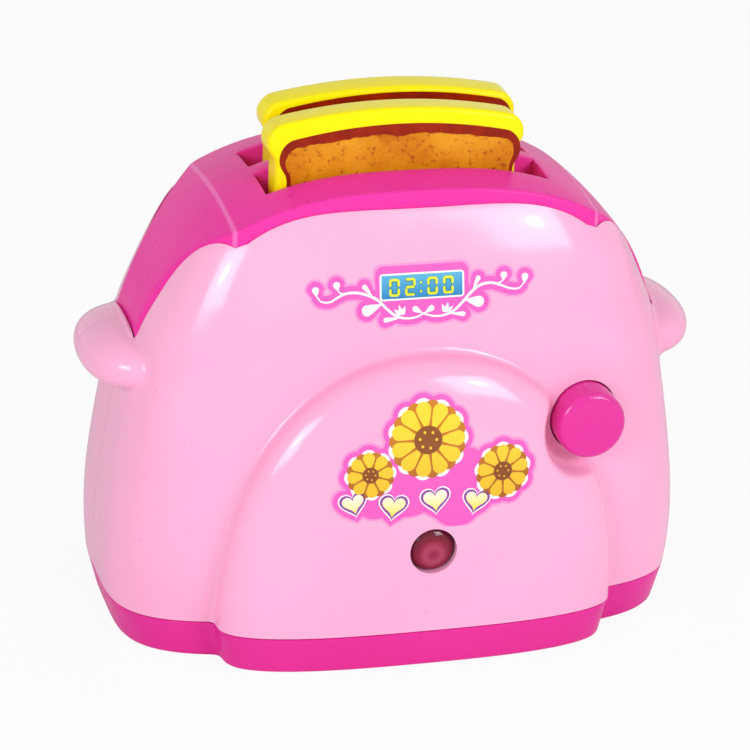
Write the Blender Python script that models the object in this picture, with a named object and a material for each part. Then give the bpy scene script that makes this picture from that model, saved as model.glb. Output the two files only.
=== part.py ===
"""Toy bread machine: two moulded housing halves on a base, a cover with two slots, two slices that pop up.

Metres. +X is to the right as seen from the front, +Y to the rear, +Z up. The origin is on the table.
"""

from math import ceil, cos, pi, radians, sin, sqrt, tan

import bmesh
import bpy
from mathutils import Matrix, Vector

MM = 0.001

# Fits and faces
FIT = 0.3 * MM
SLIDE_FIT = 0.2 * MM
SPLIT = 0.3 * MM
OVERRUN = 3.0 * MM
ROUND_SIDES = 28
SMALL_SIDES = 14
SCREW_SIDES = 8

# Body outline: x = BODY_HALF_WIDTH * (1 - rise ** BODY_RISE_POWER) ** BODY_TURN_POWER
WALL = 2.0 * MM
BODY_HALF_WIDTH = 63.6 * MM
BODY_HALF_DEPTH = 33.4 * MM
BODY_FOOT_Z = 7.2 * MM
BODY_CROWN_Z = 103.8 * MM
BODY_TOP_LEVEL = 100.6 * MM
BODY_RISE_POWER = 1.568
BODY_TURN_POWER = 0.237
BODY_SQUARE_POWER = 4.05
BODY_TAPER_SHARE = 0.096
TUCK_Z = 30.0 * MM
TUCK_SIDE = 1.4 * MM
TUCK_FRONT = 2.3 * MM
SWELL = 1.6 * MM
SWELL_Z = 65.0 * MM
SWELL_HEIGHT = 7.0 * MM
SWELL_DEPTH = 15.0 * MM
RING_QUARTER_STEPS = 9
INNER_QUARTER_STEPS = 6
RING_SPREAD_POWER = 0.667
SOLVE_STEPS = 34
LEVEL_SHARES = (0, 0.04, 0.1, 0.2, 0.33, 0.46, 0.57, 0.66, 0.74, 0.81, 0.87, 0.92, 0.96, 1)
INNER_LEVEL_SHARES = (0, 0.1, 0.3, 0.52, 0.68, 0.8, 0.88, 0.95, 1)

# Base tray
BASE_HEIGHT = 8.4 * MM
BASE_DRAFT_SIDE = 2.3 * MM
BASE_DRAFT_FRONT = 0.8 * MM
BASE_EDGE = 0.8 * MM
BASE_FLOOR = 2.6 * MM
LIP_HEIGHT = 3.6 * MM
LIP_WALL = 1.6 * MM

# Arch panel: a pillow that stands out of the front and runs down into the base
ARCH_FROM_SIDE = 20.8 * MM
ARCH_HALF_WIDTH = BODY_HALF_WIDTH - ARCH_FROM_SIDE
ARCH_HEIGHT = 58.0 * MM
ARCH_POWER = 2.2
ARCH_RELIEF = 11.0 * MM
ARCH_EDGE_POWER = 2.7
ARCH_SINK_LOW = 2.6 * MM
ARCH_SINK_HIGH = 1.8 * MM
ARCH_BACK_LOW = BODY_HALF_DEPTH - ARCH_SINK_LOW
ARCH_BACK_HIGH = BODY_HALF_DEPTH - ARCH_SINK_HIGH
ARCH_DRAFT_SIDE = 2.0 * MM
ARCH_ROOT = 12.0 * MM
ARCH_COLUMN_STEPS = 18
ARCH_ROW_STEPS = 9
ARCH_INNER_COLUMN_STEPS = 12
ARCH_INNER_ROW_STEPS = 6
ARCH_TOP_SHARE = 0.997

# Ears
EAR_FROM_SIDE = 10.9 * MM
EAR_X = BODY_HALF_WIDTH - EAR_FROM_SIDE
EAR_Z = 59.7 * MM
EAR_HALF_LENGTH = 14.0 * MM
EAR_HALF_DEPTH = 17.6 * MM
EAR_HALF_HEIGHT = 6.7 * MM
EAR_PLAN_POWER = 2.36
EAR_SECTION_POWER = 2.29
EAR_SIDES = 24
EAR_STEPS = 10
EAR_INNER_SIDES = 12
EAR_INNER_STEPS = 8

# Top cover
COVER_WALL = 2.0 * MM
COVER_TOP_Z = 100.8 * MM
CREASE_FROM_SIDE = 25.2 * MM
COVER_CREASE_X = BODY_HALF_WIDTH - CREASE_FROM_SIDE
COVER_CREASE_Z = 93.4 * MM
COVER_TOP_POWER = 2.87
COVER_CROWN = 2.1 * MM
COVER_FROM_FRONT = 10.8 * MM
CREASE_STEP_IN = 0.8 * MM
PANEL_STEP_IN = 1.4 * MM
COVER_HALF_DEPTH = BODY_HALF_DEPTH - COVER_FROM_FRONT
COVER_CREASE_HALF_DEPTH = COVER_HALF_DEPTH - CREASE_STEP_IN
COVER_SIDE_HALF_DEPTH = COVER_HALF_DEPTH - PANEL_STEP_IN
COVER_RIM_HALF_DEPTH = 8.4 * MM
COVER_NARROW_POWER = 0.66
RIM_FROM_SIDE = 7.3 * MM
COVER_RIM_X = BODY_HALF_WIDTH - RIM_FROM_SIDE
COVER_RIM_Z = 66.3 * MM
COVER_BULGE = 2.6 * MM
COVER_SKIRT = 6.5 * MM
COVER_EDGE = 0.7 * MM
COVER_STEEPEST = 1.6
COVER_TOP_STEPS = 18
COVER_SIDE_STEPS = 7
COVER_COLUMN_STEPS = 3
EDGE_STEPS = 2
RIM_LIP = 1.1 * MM
RIM_LIP_HEIGHT = 1.2 * MM
RIM_LIP_DEPTH = 9.6 * MM
RIM_LIP_DROP = 6.0 * MM
RIM_LIP_EDGE = 0.4 * MM

# Bread slots and the collar under them
SLOT_HALF_LENGTH = 30.1 * MM
SLOT_WIDTH = 10.4 * MM
SLOT_BAR = 5.0 * MM
COLLAR_WALL = 1.5 * MM
COLLAR_DEPTH = 11.0 * MM

# Slices
SLICE_THICKNESS = 7.3 * MM
SLICE_HALF_WIDTH = 25.6 * MM
SLICE_HEAD_HALF_WIDTH = 27.3 * MM
SLICE_TOP_Z = 112.5 * MM
SLICE_WIDEST_DROP = 6.5 * MM
SLICE_NECK_DROP = 11.5 * MM
SLICE_SHOULDER_X = 24.0 * MM
SLICE_SHOULDER_DROP = 2.4 * MM
SLICE_FOOT_RADIUS = 2.0 * MM
SLICE_EDGE = 0.7 * MM
SLICE_CURVE_STEPS = 6
SLICE_CREST_STEPS = 5
SLICE_TIP_Z = 99.0 * MM
SLICE_FRONT_X = -2.2 * MM
SLICE_REAR_X = 0.4 * MM
SLICE_FRONT_LEAN = radians(-1.5)
SLICE_REAR_LEAN = radians(3.0)

# Carriage
CARRIAGE_FLOOR_Z = 56.6 * MM
CARRIAGE_FLOOR = 1.8 * MM
CARRIAGE_TRAVEL = 16.0 * MM
TROUGH_PLAY = 0.65 * MM
TROUGH_WALL = 1.4 * MM
TROUGH_DEPTH = 6.0 * MM
TROUGH_HALF_LENGTH = 29.0 * MM
WEB_POCKET_HALF_LENGTH = 20.0 * MM
WEB_WALL = 1.6 * MM
ROD_FROM_SLOT = 5.1 * MM
ROD_X = SLOT_HALF_LENGTH + ROD_FROM_SLOT
ROD_RADIUS = 1.5 * MM
ROD_SEAT = 6.0 * MM
SLEEVE_RADIUS = 3.6 * MM
SLEEVE_RISE = 9.4 * MM
SLEEVE_DROP = 6.6 * MM
BRIDGE_HALF_WIDTH = 3.0 * MM
BRIDGE_HEIGHT = 5.0 * MM
ARM_INNER_X = 42.6 * MM
ARM_WIDTH = 2.4 * MM
ARM_HEIGHT = 2.6 * MM
TOOTH_LENGTH = 3.6 * MM
TOOTH_DEPTH = 2.3 * MM
STOP_X = 25.0 * MM
STOP_HALF_SIZE = 1.8 * MM
ROD_POST_RADIUS = 4.6 * MM
ROD_POST_HEIGHT = 13.0 * MM
SPRING_RADIUS = 2.8 * MM
SPRING_WIRE = 0.35 * MM
SPRING_TURN_STEPS = 7
SPRING_SIDES = 8

# Button and the recess round it
BUTTON_FROM_ARCH = 7.6 * MM
BUTTON_X = ARCH_HALF_WIDTH - BUTTON_FROM_ARCH
BUTTON_Z = 49.8 * MM
BUTTON_RADIUS = 7.4 * MM
BUTTON_PROUD = 5.7 * MM
BUTTON_EDGE = 1.6 * MM
BUTTON_CROWN = 0.4 * MM
BUTTON_FLANGE = 1.4 * MM
BUTTON_FLANGE_RADIUS = 9.0 * MM
BUTTON_STEM_RADIUS = 2.4 * MM
BUTTON_TRAVEL = 3.0 * MM
BUTTON_FLOOR_SINK = 2.2 * MM
BUTTON_FLOOR_Y = BODY_HALF_DEPTH - BUTTON_FLOOR_SINK
RECESS_RADIUS = 9.3 * MM
RECESS_DRAFT = 0.5 * MM
WELL_DEPTH = 3.0 * MM
WELL_WALL = 1.4 * MM

# Latch finger
FINGER_Y = 18.6 * MM
FINGER_SHEET = 0.5 * MM
FINGER_HALF_WIDTH = 3.4 * MM
FINGER_FOOT_Z = 22.0 * MM
FINGER_TOP_Z = 54.0 * MM
FINGER_WING_LOW_Z = 43.5 * MM
FINGER_WING_HEIGHT = 4.0 * MM
FINGER_HOOK = 1.8 * MM
FINGER_SCREW_Z = 26.0 * MM
FINGER_BOSS_RADIUS = 3.4 * MM

# Lamp
LENS_X = 0.3 * MM
LENS_Z = 26.8 * MM
LENS_HOLE_RADIUS = 5.0 * MM
LENS_RADIUS = 4.6 * MM
LENS_FLANGE_RADIUS = 6.2 * MM
LENS_FLANGE = 1.2 * MM
LENS_DOME = 1.4 * MM
LENS_RECESS = 0.6 * MM
LAMP_RADIUS = 2.5 * MM
LAMP_LENGTH = 6.0 * MM
BOARD_HALF_LENGTH = 13.0 * MM
BOARD_HALF_HEIGHT = 5.5 * MM
BOARD_SHEET = 1.6 * MM
BOARD_BOSS_X = 9.5 * MM
BOARD_BOSS_RADIUS = 2.6 * MM
BOARD_BOSS_LENGTH = 8.0 * MM

# Screws
SCREW_RADIUS = 1.3 * MM
SCREW_HEAD_RADIUS = 2.6 * MM
SCREW_HEAD = 1.7 * MM
SMALL_SCREW_RADIUS = 0.8 * MM
SMALL_HEAD_RADIUS = 1.7 * MM
SMALL_HEAD = 1.1 * MM
SMALL_SCREW_LENGTH = 5.5 * MM
SOCKET_RADIUS_SHARE = 0.5
SOCKET_DEPTH_SHARE = 0.5
HEAD_WELL_RADIUS = 3.1 * MM
CORNER_FROM_SIDE = 16.6 * MM
CORNER_FROM_FRONT = 14.0 * MM
CORNER_X = BODY_HALF_WIDTH - CORNER_FROM_SIDE
CORNER_Y = BODY_HALF_DEPTH - CORNER_FROM_FRONT
CORNER_BOSS_RADIUS = 3.7 * MM
CORNER_BOSS_HEIGHT = 16.0 * MM
CORNER_SCREW_LENGTH = 15.0 * MM
CORNER_WELL_DEPTH = 4.0 * MM
RIB_HALF_SHEET = 0.7 * MM
JOIN_FROM_SIDE = 11.1 * MM
JOIN_X = BODY_HALF_WIDTH - JOIN_FROM_SIDE
JOIN_Z = 37.0 * MM
JOIN_BOSS_RADIUS = 3.7 * MM
JOIN_HEAD_Y = 5.5 * MM
JOIN_SCREW_LENGTH = 15.0 * MM
SHELF_X = 20.0 * MM
SHELF_HALF_WIDTH = 1.0 * MM
SHELF_DEPTH = 7.0 * MM
SHELF_HEIGHT = 4.0 * MM

# Battery bay and its parts
CELL_RADIUS = 5.25 * MM
CELL_LENGTH = 43.5 * MM
CELL_NUB = 1.0 * MM
CELL_NUB_RADIUS = 1.9 * MM
BAY_FROM_BACK = 7.3 * MM
BAY_WALL = 1.5 * MM
BAY_END_ROOM = 3.0 * MM
BAY_ROOF = 1.5 * MM
DOOR_SHEET = 2.2 * MM
DOOR_LEDGE = 0.9 * MM
DOOR_TAB_LENGTH = 7.0 * MM
DOOR_TAB_HALF_WIDTH = 3.6 * MM
DOOR_BOSS_RADIUS = 3.4 * MM
DOOR_BOSS_HEIGHT = 9.0 * MM
DOOR_WELL = 1.5 * MM
CONTACT_SHEET = 0.4 * MM
CONTACT_PAD_RADIUS = 2.4 * MM
CONTACT_EDGE = 0.8 * MM

# Leaf switch
SWITCH_FROM_SIDE = 30.1 * MM
SWITCH_FROM_FRONT = 13.9 * MM
SWITCH_X = -(BODY_HALF_WIDTH - SWITCH_FROM_SIDE)
SWITCH_Y = -(BODY_HALF_DEPTH - SWITCH_FROM_FRONT)
SWITCH_POST_Z = 30.0 * MM
SWITCH_HALF_LENGTH = 3.4 * MM
SWITCH_HALF_WIDTH = 2.4 * MM
SWITCH_SPACER = 2.2 * MM
LEAF_SHEET = 0.4 * MM
LEAF_LENGTH = 13.0 * MM
LEAF_FIXED_RISE = 1.0 * MM
LEAF_MOVING_RISE = 1.8 * MM
FOOT_HALF_WIDTH = 2.0 * MM
FOOT_DROP = 4.6 * MM

# Colours
PINK = (1.0, 0.46, 0.72, 1.0)
MAGENTA = (0.84, 0.05, 0.38, 1.0)
YELLOW = (1.0, 0.88, 0.01, 1.0)
WINE = (0.26, 0.003, 0.03, 1.0)
STEEL = (0.55, 0.56, 0.58, 1.0)
WHITE = (0.85, 0.85, 0.82, 1.0)
GREEN = (0.05, 0.25, 0.09, 1.0)
BLACK = (0.03, 0.03, 0.035, 1.0)

# Levels that follow from the sizes above
SEAM_Z = BASE_HEIGHT + SPLIT / 2
BASE_TOP_Z = BASE_HEIGHT - SPLIT / 2
SLOT_PITCH = SLOT_WIDTH + SLOT_BAR
SLEEVE_TOP_Z = CARRIAGE_FLOOR_Z + SLEEVE_RISE
SLEEVE_BOTTOM_Z = CARRIAGE_FLOOR_Z - SLEEVE_DROP
ROD_TOP_Z = COVER_CREASE_Z - COVER_SKIRT
SLICE_FOOT_Z = CARRIAGE_FLOOR_Z + CARRIAGE_FLOOR + FIT
CELL_Z = DOOR_SHEET + FIT + CELL_RADIUS
BAY_ROOF_Z = CELL_Z + CELL_RADIUS + FIT
BAY_HALF_LENGTH = CELL_LENGTH / 2 + CELL_NUB + BAY_END_ROOM / 2
BAY_REAR_Y = BODY_HALF_DEPTH - BAY_FROM_BACK
BAY_FRONT_Y = BAY_REAR_Y - 4 * CELL_RADIUS - 3 * FIT
CELL_Y = (BAY_FRONT_Y + FIT + CELL_RADIUS, BAY_FRONT_Y + 2 * FIT + 3 * CELL_RADIUS)


def show(name, verts, faces, colour, gloss=0.3, metal=0.0):
    """A visible solid with its own material, its faces turned outwards."""
    mesh = bpy.data.meshes.new(name)
    mesh.from_pydata([tuple(v) for v in verts], [], faces)
    form = bmesh.new()
    form.from_mesh(mesh)
    bmesh.ops.recalc_face_normals(form, faces=form.faces)
    form.to_mesh(mesh)
    form.free()
    obj = bpy.data.objects.new(name, mesh)
    bpy.context.scene.collection.objects.link(obj)
    material = bpy.data.materials.new(name)
    material.use_nodes = True
    shader = material.node_tree.nodes["Principled BSDF"]
    shader.inputs["Base Color"].default_value = colour
    shader.inputs["Roughness"].default_value = gloss
    shader.inputs["Metallic"].default_value = metal
    mesh.materials.append(material)
    return obj


def helper(shape):
    """A solid that only cuts, joins or clips another one."""
    obj = show("helper", *shape, PINK)
    obj.hide_render = True
    obj.display_type = "WIRE"
    return obj


def combine(obj, other, operation):
    step = obj.modifiers.new(operation.lower(), "BOOLEAN")
    step.operation = operation
    step.solver = "EXACT"
    step.object = other


def join(obj, *shapes):
    for shape in shapes:
        combine(obj, helper(shape) if isinstance(shape, tuple) else shape, "UNION")


def cut(obj, *shapes):
    for shape in shapes:
        combine(obj, helper(shape) if isinstance(shape, tuple) else shape, "DIFFERENCE")


def clip(obj, other):
    combine(obj, other, "INTERSECT")


def loft(rings):
    """Faces between rings of as many points, and a flat face on each end."""
    count = len(rings[0])
    verts = [point for ring in rings for point in ring]
    faces = [tuple(reversed(range(count)))]
    for row in range(len(rings) - 1):
        for k in range(count):
            low = row * count
            faces.append((low + k, low + (k + 1) % count, low + count + (k + 1) % count, low + count + k))
    faces.append(tuple(range((len(rings) - 1) * count, len(rings) * count)))
    return verts, faces


def block(low, high):
    """A box between two corners."""
    rings = []
    for z in (low[2], high[2]):
        corners = ((low[0], low[1]), (high[0], low[1]), (high[0], high[1]), (low[0], high[1]))
        rings.append([(x, y, z) for x, y in corners])
    return loft(rings)


def turned(profile, centre, axis, sides=ROUND_SIDES):
    """A solid turned about an axis through centre, from (place along the axis, radius) pairs."""
    along = Vector(axis)
    across = Vector((0, 0, 1)) if abs(along.z) < abs(along.x) + abs(along.y) else Vector((1, 0, 0))
    other = along.cross(across)
    rings = []
    for place, radius in profile:
        ring = []
        for k in range(sides):
            angle = 2 * pi * (k + 1 / 2) / sides
            out = across * (radius * cos(angle)) + other * (radius * sin(angle))
            ring.append(Vector(centre) + along * place + out)
        rings.append(ring)
    return loft(rings)


def rod(centre, axis, radius, start, end, sides=SMALL_SIDES):
    return turned([(start, radius), (end, radius)], centre, axis, sides)


def set_origin(obj, point):
    """Puts the object's origin on its joint axis and leaves its shape where it is."""
    obj.data.transform(Matrix.Translation(-Vector(point)))
    obj.location = point


def power(value, exponent):
    return max(value, 0) ** exponent


def body_rise(z, inset):
    return max(z - BODY_FOOT_Z, 0) / (BODY_CROWN_Z - inset - BODY_FOOT_Z)


def body_reach(z, inset):
    """Half depth of the body at height z, in the middle."""
    rise = body_rise(z, inset)
    depth = (BODY_HALF_DEPTH - inset) * (1 - BODY_TAPER_SHARE * rise)
    return depth * power(1 - rise**BODY_SQUARE_POWER, 1 / BODY_SQUARE_POWER)


def tuck(z):
    return (max(TUCK_Z - max(z, BASE_HEIGHT), 0) / (TUCK_Z - BASE_HEIGHT)) ** 2


def body_half_width(y, z, inset):
    """Half width of the body at height z and depth y, before the foot is tucked in."""
    rise = body_rise(z, inset)
    depth = (BODY_HALF_DEPTH - inset) * (1 - BODY_TAPER_SHARE * rise)
    room = power(1 - (abs(y) / depth) ** BODY_SQUARE_POWER, 1 / BODY_SQUARE_POWER)
    if room <= rise:
        return 0
    width = (BODY_HALF_WIDTH - inset) * room * power(1 - (rise / room) ** BODY_RISE_POWER, BODY_TURN_POWER)
    near_rim = 2 ** (-(((z - SWELL_Z) / SWELL_HEIGHT) ** 2) - (y / SWELL_DEPTH) ** 2)
    return width + SWELL * near_rim


def body_ring(z, inset, quarter=RING_QUARTER_STEPS):
    """One level outline of the body, as a closed ring of points."""
    reach = body_reach(z, inset)
    width = body_half_width(0, z, inset)
    corner = []
    for k in range(quarter + 1):
        turn = pi / 2 * k / quarter
        dx = width * power(cos(turn), RING_SPREAD_POWER)
        dy = reach * power(sin(turn), RING_SPREAD_POWER)
        near, far = 0, 2
        for _ in range(SOLVE_STEPS):
            middle = (near + far) / 2
            inside = dy * middle < reach and dx * middle <= body_half_width(dy * middle, z, inset)
            near, far = (middle, far) if inside else (near, middle)
        narrow = 1 - TUCK_SIDE / BODY_HALF_WIDTH * tuck(z)
        shallow = 1 - TUCK_FRONT / BODY_HALF_DEPTH * tuck(z)
        corner.append((dx * near * narrow, dy * near * shallow))
    half = corner + [(-x, y) for x, y in reversed(corner[:-1])]
    return [(x, y, z) for x, y in half] + [(x, -y, z) for x, y in reversed(half[1:-1])]


def body_form(inset, low_z, quarter=RING_QUARTER_STEPS, level_shares=LEVEL_SHARES):
    """The domed body, made smaller all round by inset, from low_z up."""
    top = BODY_TOP_LEVEL - inset
    levels = [SEAM_Z + share * (top - SEAM_Z) for share in level_shares]
    rings = [body_ring(z, inset, quarter) for z in levels]
    if low_z < SEAM_Z:
        rings.insert(0, [(x, y, low_z) for x, y, _ in rings[0]])
    return loft(rings)


def arch_front(x, z, inset):
    """How far forward the arch panel stands at a place, as a positive depth."""
    side = abs(x) / (ARCH_HALF_WIDTH - inset)
    rise = max(z - BASE_HEIGHT, 0) / (ARCH_HEIGHT - inset)
    share = (side**ARCH_POWER + rise**ARCH_POWER) ** (1 / ARCH_POWER)
    back = ARCH_BACK_LOW + (ARCH_BACK_HIGH - ARCH_BACK_LOW) * (z - BASE_HEIGHT) / ARCH_HEIGHT
    relief = (ARCH_RELIEF - inset) * power(1 - share**ARCH_EDGE_POWER, 1 / ARCH_EDGE_POWER)
    return back + relief


def arch_ring(z, inset, columns=ARCH_COLUMN_STEPS):
    """One level outline of the arch panel, closed behind inside the body."""
    rise = max(z - BASE_HEIGHT, 0) / (ARCH_HEIGHT - inset)
    width = (ARCH_HALF_WIDTH - inset) * power(1 - rise**ARCH_POWER, 1 / ARCH_POWER)
    ring = []
    for k in range(columns + 1):
        x = width * sin(pi * (k / columns - 1 / 2))
        ring.append((x, -arch_front(x, z, inset), z))
    root = ARCH_BACK_LOW - ARCH_ROOT
    return ring + [(width, -root, z), (-width, -root, z)]


def arch_form(inset, low_z, columns=ARCH_COLUMN_STEPS, rows=ARCH_ROW_STEPS):
    top = ARCH_TOP_SHARE * (ARCH_HEIGHT - inset)
    levels = [SEAM_Z + (top - SPLIT) * sin(pi / 2 * k / rows) for k in range(rows + 1)]
    rings = [arch_ring(z, inset, columns) for z in levels]
    if low_z < SEAM_Z:
        rings.insert(0, [(x, y, low_z) for x, y, _ in rings[0]])
    return loft(rings)


def ear_form(side, inset, points=EAR_SIDES, steps=EAR_STEPS):
    """A flattened round ear, as a stack of level outlines."""
    rings = []
    for step in range(1, steps):
        tilt = pi * (step / steps - 1 / 2)
        z = EAR_Z + (EAR_HALF_HEIGHT - inset) * signed_power(sin(tilt), 2 / EAR_SECTION_POWER)
        size = power(cos(tilt), 2 / EAR_SECTION_POWER)
        ring = []
        for k in range(points):
            turn = 2 * pi * (k + 1 / 2) / points
            x = (EAR_HALF_LENGTH - inset) * size * signed_power(cos(turn), 2 / EAR_PLAN_POWER)
            y = (EAR_HALF_DEPTH - inset) * size * signed_power(sin(turn), 2 / EAR_PLAN_POWER)
            ring.append((side * EAR_X + x, y, z))
        rings.append(ring)
    return loft(rings)


def signed_power(value, exponent):
    return abs(value) ** exponent * (1 if value >= 0 else -1)


def cover_station(place, side_steps, top_steps):
    """(x, z, half depth, slope) of the cover's middle line at a numbered station, from the left rim on."""
    last = 2 * side_steps + top_steps
    if place < side_steps or place > last - side_steps:
        side = -1 if place < side_steps else 1
        share = 1 - place / side_steps if side < 0 else 1 - (last - place) / side_steps
        run = COVER_RIM_X - COVER_CREASE_X
        fall = COVER_CREASE_Z - COVER_RIM_Z
        reach = 2 * COVER_BULGE / sqrt(run**2 + fall**2)
        bend_x = (COVER_CREASE_X + COVER_RIM_X) / 2 + fall * reach
        bend_z = (COVER_CREASE_Z + COVER_RIM_Z) / 2 + run * reach
        rest = 1 - share
        x = rest**2 * COVER_CREASE_X + 2 * rest * share * bend_x + share**2 * COVER_RIM_X
        z = rest**2 * COVER_CREASE_Z + 2 * rest * share * bend_z + share**2 * COVER_RIM_Z
        dx = 2 * rest * (bend_x - COVER_CREASE_X) + 2 * share * (COVER_RIM_X - bend_x)
        dz = 2 * rest * (bend_z - COVER_CREASE_Z) + 2 * share * (COVER_RIM_Z - bend_z)
        depth_fall = COVER_SIDE_HALF_DEPTH - COVER_RIM_HALF_DEPTH
        return side * x, z, COVER_SIDE_HALF_DEPTH - depth_fall * share**COVER_NARROW_POWER, dz / max(dx, MM)
    share = 2 * (place - side_steps) / top_steps - 1
    z = COVER_TOP_Z - (COVER_TOP_Z - COVER_CREASE_Z) * abs(share) ** COVER_TOP_POWER
    depth = COVER_HALF_DEPTH - (COVER_HALF_DEPTH - COVER_CREASE_HALF_DEPTH) * share**2
    slope = (COVER_TOP_Z - COVER_CREASE_Z) * COVER_TOP_POWER * abs(share) ** (COVER_TOP_POWER - 1)
    return share * COVER_CREASE_X, z, depth, slope / COVER_CREASE_X


def cover_z(y, z):
    return z - COVER_CROWN * (y / COVER_HALF_DEPTH) ** 2


def cover_form(side_steps=COVER_SIDE_STEPS, top_steps=COVER_TOP_STEPS, columns=COVER_COLUMN_STEPS):
    """The cover as a bent channel: its curved top, rounded edges, skirts and even wall."""
    rings = []
    for place in range(2 * side_steps + top_steps + 1):
        x, z, half, slope = cover_station(place, side_steps, top_steps)
        skirt_z = cover_z(half, z) - COVER_SKIRT
        thickness = COVER_WALL * min(sqrt(1 + slope**2), COVER_STEEPEST)
        outer = []
        flat = half - COVER_EDGE
        for k in range(-columns, columns + 1):
            y = flat * k / columns
            outer.append((x, y, cover_z(y, z)))
        edge = []
        for k in range(1, EDGE_STEPS + 1):
            turn = pi / 2 * k / EDGE_STEPS
            y = flat + COVER_EDGE * sin(turn)
            edge.append((x, y, cover_z(flat, z) - COVER_EDGE * (1 - cos(turn))))
        mirrored = [(px, -py, pz) for px, py, pz in reversed(edge)]
        inner_half = half - COVER_WALL
        inner = []
        for k in range(columns, -columns - 1, -1):
            y = inner_half * k / columns
            inner.append((x, y, cover_z(y, z) - thickness))
        skirt = [(x, half, skirt_z), (x, inner_half, skirt_z)]
        other_skirt = [(x, -inner_half, skirt_z), (x, -half, skirt_z)]
        rings.append(mirrored + outer + edge + skirt + inner + other_skirt)
    return loft(rings)


def cover_core(low):
    """Everything between low and the middle of the cover's wall, over the length of its top."""
    side_steps, top_steps = COVER_SIDE_STEPS, COVER_TOP_STEPS
    rings = []
    for place in range(side_steps, side_steps + top_steps + 1):
        x, z, half, _ = cover_station(place, side_steps, top_steps)
        inner = half - COVER_WALL / 2
        columns = range(-COVER_COLUMN_STEPS, COVER_COLUMN_STEPS + 1)
        top = [(x, inner * k / COVER_COLUMN_STEPS) for k in columns]
        ring = [(px, y, cover_z(y, z) - COVER_WALL / 2) for px, y in top]
        rings.append(ring + [(x, inner, low), (x, -inner, low)])
    return loft(rings)


def cover_opening(gap):
    """The room in the housing that the cover lies in, wider than the cover by gap."""
    side_steps, top_steps = COVER_SIDE_STEPS, COVER_TOP_STEPS
    last = 2 * side_steps + top_steps
    rings = []
    for place in range(last + 1):
        x, z, half, _ = cover_station(place, side_steps, top_steps)
        if place in (0, last):
            x += gap if place else -gap
        low = cover_z(half, z) - COVER_SKIRT - gap
        high = BODY_CROWN_Z + OVERRUN
        side = half + gap
        rings.append([(x, -side, low), (x, side, low), (x, side, high), (x, -side, high)])
    return loft(rings)


def rim_lip(side):
    """The thin upright edge of the housing that the cover's end tucks behind."""
    inner = COVER_RIM_X - RIM_LIP
    outer = COVER_RIM_X + FIT + RIM_LIP
    top = COVER_RIM_Z + RIM_LIP_HEIGHT
    rings = []
    for z, inset in ((top - RIM_LIP_DROP, 0), (top - RIM_LIP_EDGE, 0), (top, RIM_LIP_EDGE)):
        deep = RIM_LIP_DEPTH - 2 * inset
        near, far = side * inner, side * (outer - inset)
        shallow = deep - RIM_LIP
        rings.append([(near, -deep, z), (far, -shallow, z), (far, shallow, z), (near, deep, z)])
    return loft(rings)


def corner_places():
    return [(sx * CORNER_X, sy * CORNER_Y) for sy in (-1, 1) for sx in (-1, 1)]


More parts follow.
